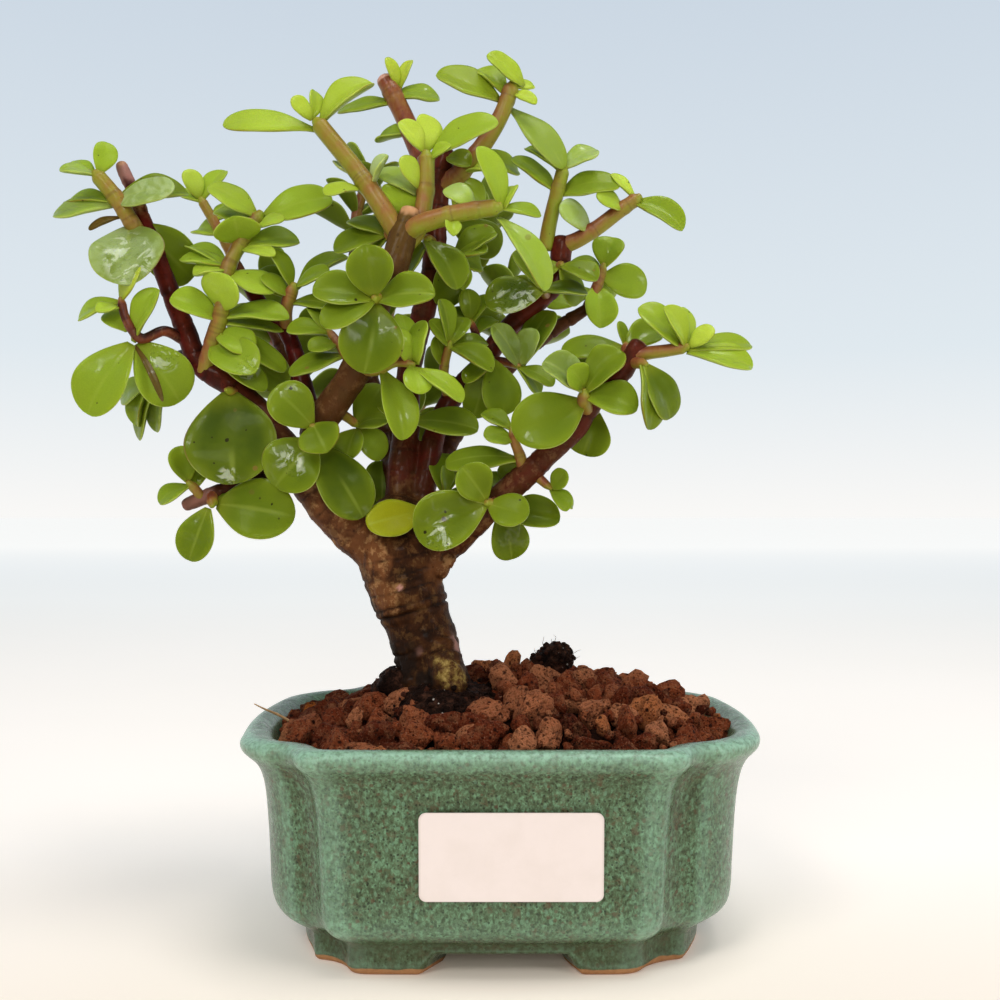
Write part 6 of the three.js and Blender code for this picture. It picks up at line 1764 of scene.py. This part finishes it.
def buildShoot(number, name, stem, *details):  # details as in the table that the shoot is in
    points = [seen(*p) for p in stem]
    if name in shoots:
        radii, leaves = details[0], readLeaves(stem, details[1:])
    else:
        radii, leaves = grownTwig["radii"], grownLeaves(points, *details)
    age, lime, flush = shootLooks.get(name, shootLooks["usual"])
    parts = []
    for k, leaf in enumerate(leaves):
        older = age + 0.02 * (np.linalg.norm(leaf[1] - leaf[0]) - 11)  # longer leaves are older
        look = {"age": older, "lime": lime, "pale": 0.0, "dry": 0.0, **leafLooks.get(name, {}).get(k, {})}
        parts.append(leafPart(leaf, 500 + number * 20 + k, look))
    return [*parts, twigPart(points, radii, leaves, flush, float(name == "crown_back"))]


for number, (name, shoot) in enumerate({**shoots, **grownShoots}.items()):
    title = "shoot" + name.title().replace("_", "")
    addPiece(title, buildShoot(number, name, *shoot), [leafSkin, twigSkin], "shoot_" + name)
print("shoots ready", len(shoots), len(grownShoots))


# The floor, the light and the camera.
# in metres, place beside the middle of the tree and width, then power and tint
lights = {
    "keyLight": ((-0.5, -0.85, 0.95), 0.42, 5.0, (1.0, 0.98, 0.945)),
    "fillLight": ((0.9, -0.6, 0.5), 0.42, 2.2, (1.0, 0.985, 0.96)),
    "frontLight": ((0.06, -1.15, 0.5), 0.32, 2.8, (1.0, 0.99, 0.96)),
    "topLight": ((0.2, -0.25, 1.25), 0.6, 7.0, (1.0, 0.99, 0.97)),
}
room = {"floor": 30.0, "nearest": 0.01, "farthest": 20.0, "frontShade": 0.34, "ceiling": 0.3}
lightAim = (0, 0, 100)
potShade = {"radius": 46.0, "most": 0.9, "tone": (0.03, 0.018, 0.01, 1.0)}


def buildFloor():
    mesh = bpy.data.meshes.new("floor")
    corners = [(x * room["floor"], y * room["floor"], 0) for x, y in ((-1, -1), (1, -1), (1, 1), (-1, 1))]
    mesh.from_pydata(corners, [], [(0, 1, 2, 3)])
    floor = addObject("floor", mesh)
    material, board, shader = newMaterial("paleFloor")
    place = board.place()
    base = board.mix(board.noise(place, 9.0, 2.0), (246, 234, 222), (242, 230, 217))
    away = board.add("SeparateXYZ", {"Vector": place}).outputs[1]
    base = board.mix(board.span(away, 0.2, 2.2), base, (250, 249, 247))
    glow = board.ramp(board.span(away, -0.06, 3.94, kind="LINEAR"), {
        0.0: (0.13, 0.12, 0.1, 1), 0.03: (0.27, 0.285, 0.3, 1),
        0.285: (0.47, 0.49, 0.49, 1), 0.8: (0.7, 0.68, 0.64, 1),
    })
    centre = tuple(toRow((pot["middle"], 0, 0)))
    shade = board.group(mark, {"Vector": place, "Centre": centre, "Radius": potShade["radius"] / 1000})[0]
    glow = board.over(glow, shade, potShade["most"], potShade["tone"])  # darker between the feet
    looks = {"Roughness": 1.0, "Specular IOR Level": 0.0, "Emission Strength": 1.0}
    connect(board, shader, {"Base Color": base, "Emission Color": glow}, looks)
    mesh.materials.append(material)


def buildWorld():  # a pale backdrop behind the tree, a dimmer room in front of it
    world = bpy.data.worlds.new("paleSky")
    bpy.context.scene.world = world
    world.use_nodes = True
    board = Board(world.node_tree)
    _, away, up = board.add("SeparateXYZ", {"Vector": board.add("TexCoord").outputs["Generated"]}).outputs
    shade = board.ramp(board.span(up, -0.15, 0.55, kind="LINEAR"), {
        0.0: (252, 247, 242), 0.214: (249, 248, 246), 0.4: (224, 233, 239), 1.0: (190, 204, 220),
    })
    depth = board.plus(away, board.times(up, 0.5))
    strength = board.span(depth, -0.45, 0.35, room["frontShade"], 1.0)
    strength = board.times(strength, board.span(up, 0.42, 0.75, 1.0, room["ceiling"]))
    board.fill(world.node_tree.nodes["Background"], {"Color": shade, "Strength": strength})


def addLight(name, place, width, power, tint):
    light = bpy.data.lights.new(name, "AREA")
    light.shape, light.size, light.size_y = "RECTANGLE", width, width
    light.energy, light.color = power, tint
    lamp = addObject(name, light)
    aim = toRow(lightAim)
    lamp.location = (aim[0] + place[0], place[1], place[2])
    lamp.rotation_euler = (Vector(aim) - lamp.location).to_track_quat("-Z", "Y").to_euler()


buildFloor()
buildWorld()
for name, looks in lights.items():
    addLight(name, *looks)

camera = addObject("camera", bpy.data.cameras.new("camera"))
camera.data.lens, camera.data.sensor_width = eye["lens"], eye["sensor"]
camera.data.clip_start, camera.data.clip_end = room["nearest"], room["farthest"]
camera.location = toRow((0, -eye["distance"], eye["height"]))
camera.rotation_euler = (math.radians(90 + eye["lookUp"]), 0, 0)
bpy.context.scene.camera = camera
bpy.context.scene.view_settings.view_transform = "Standard"
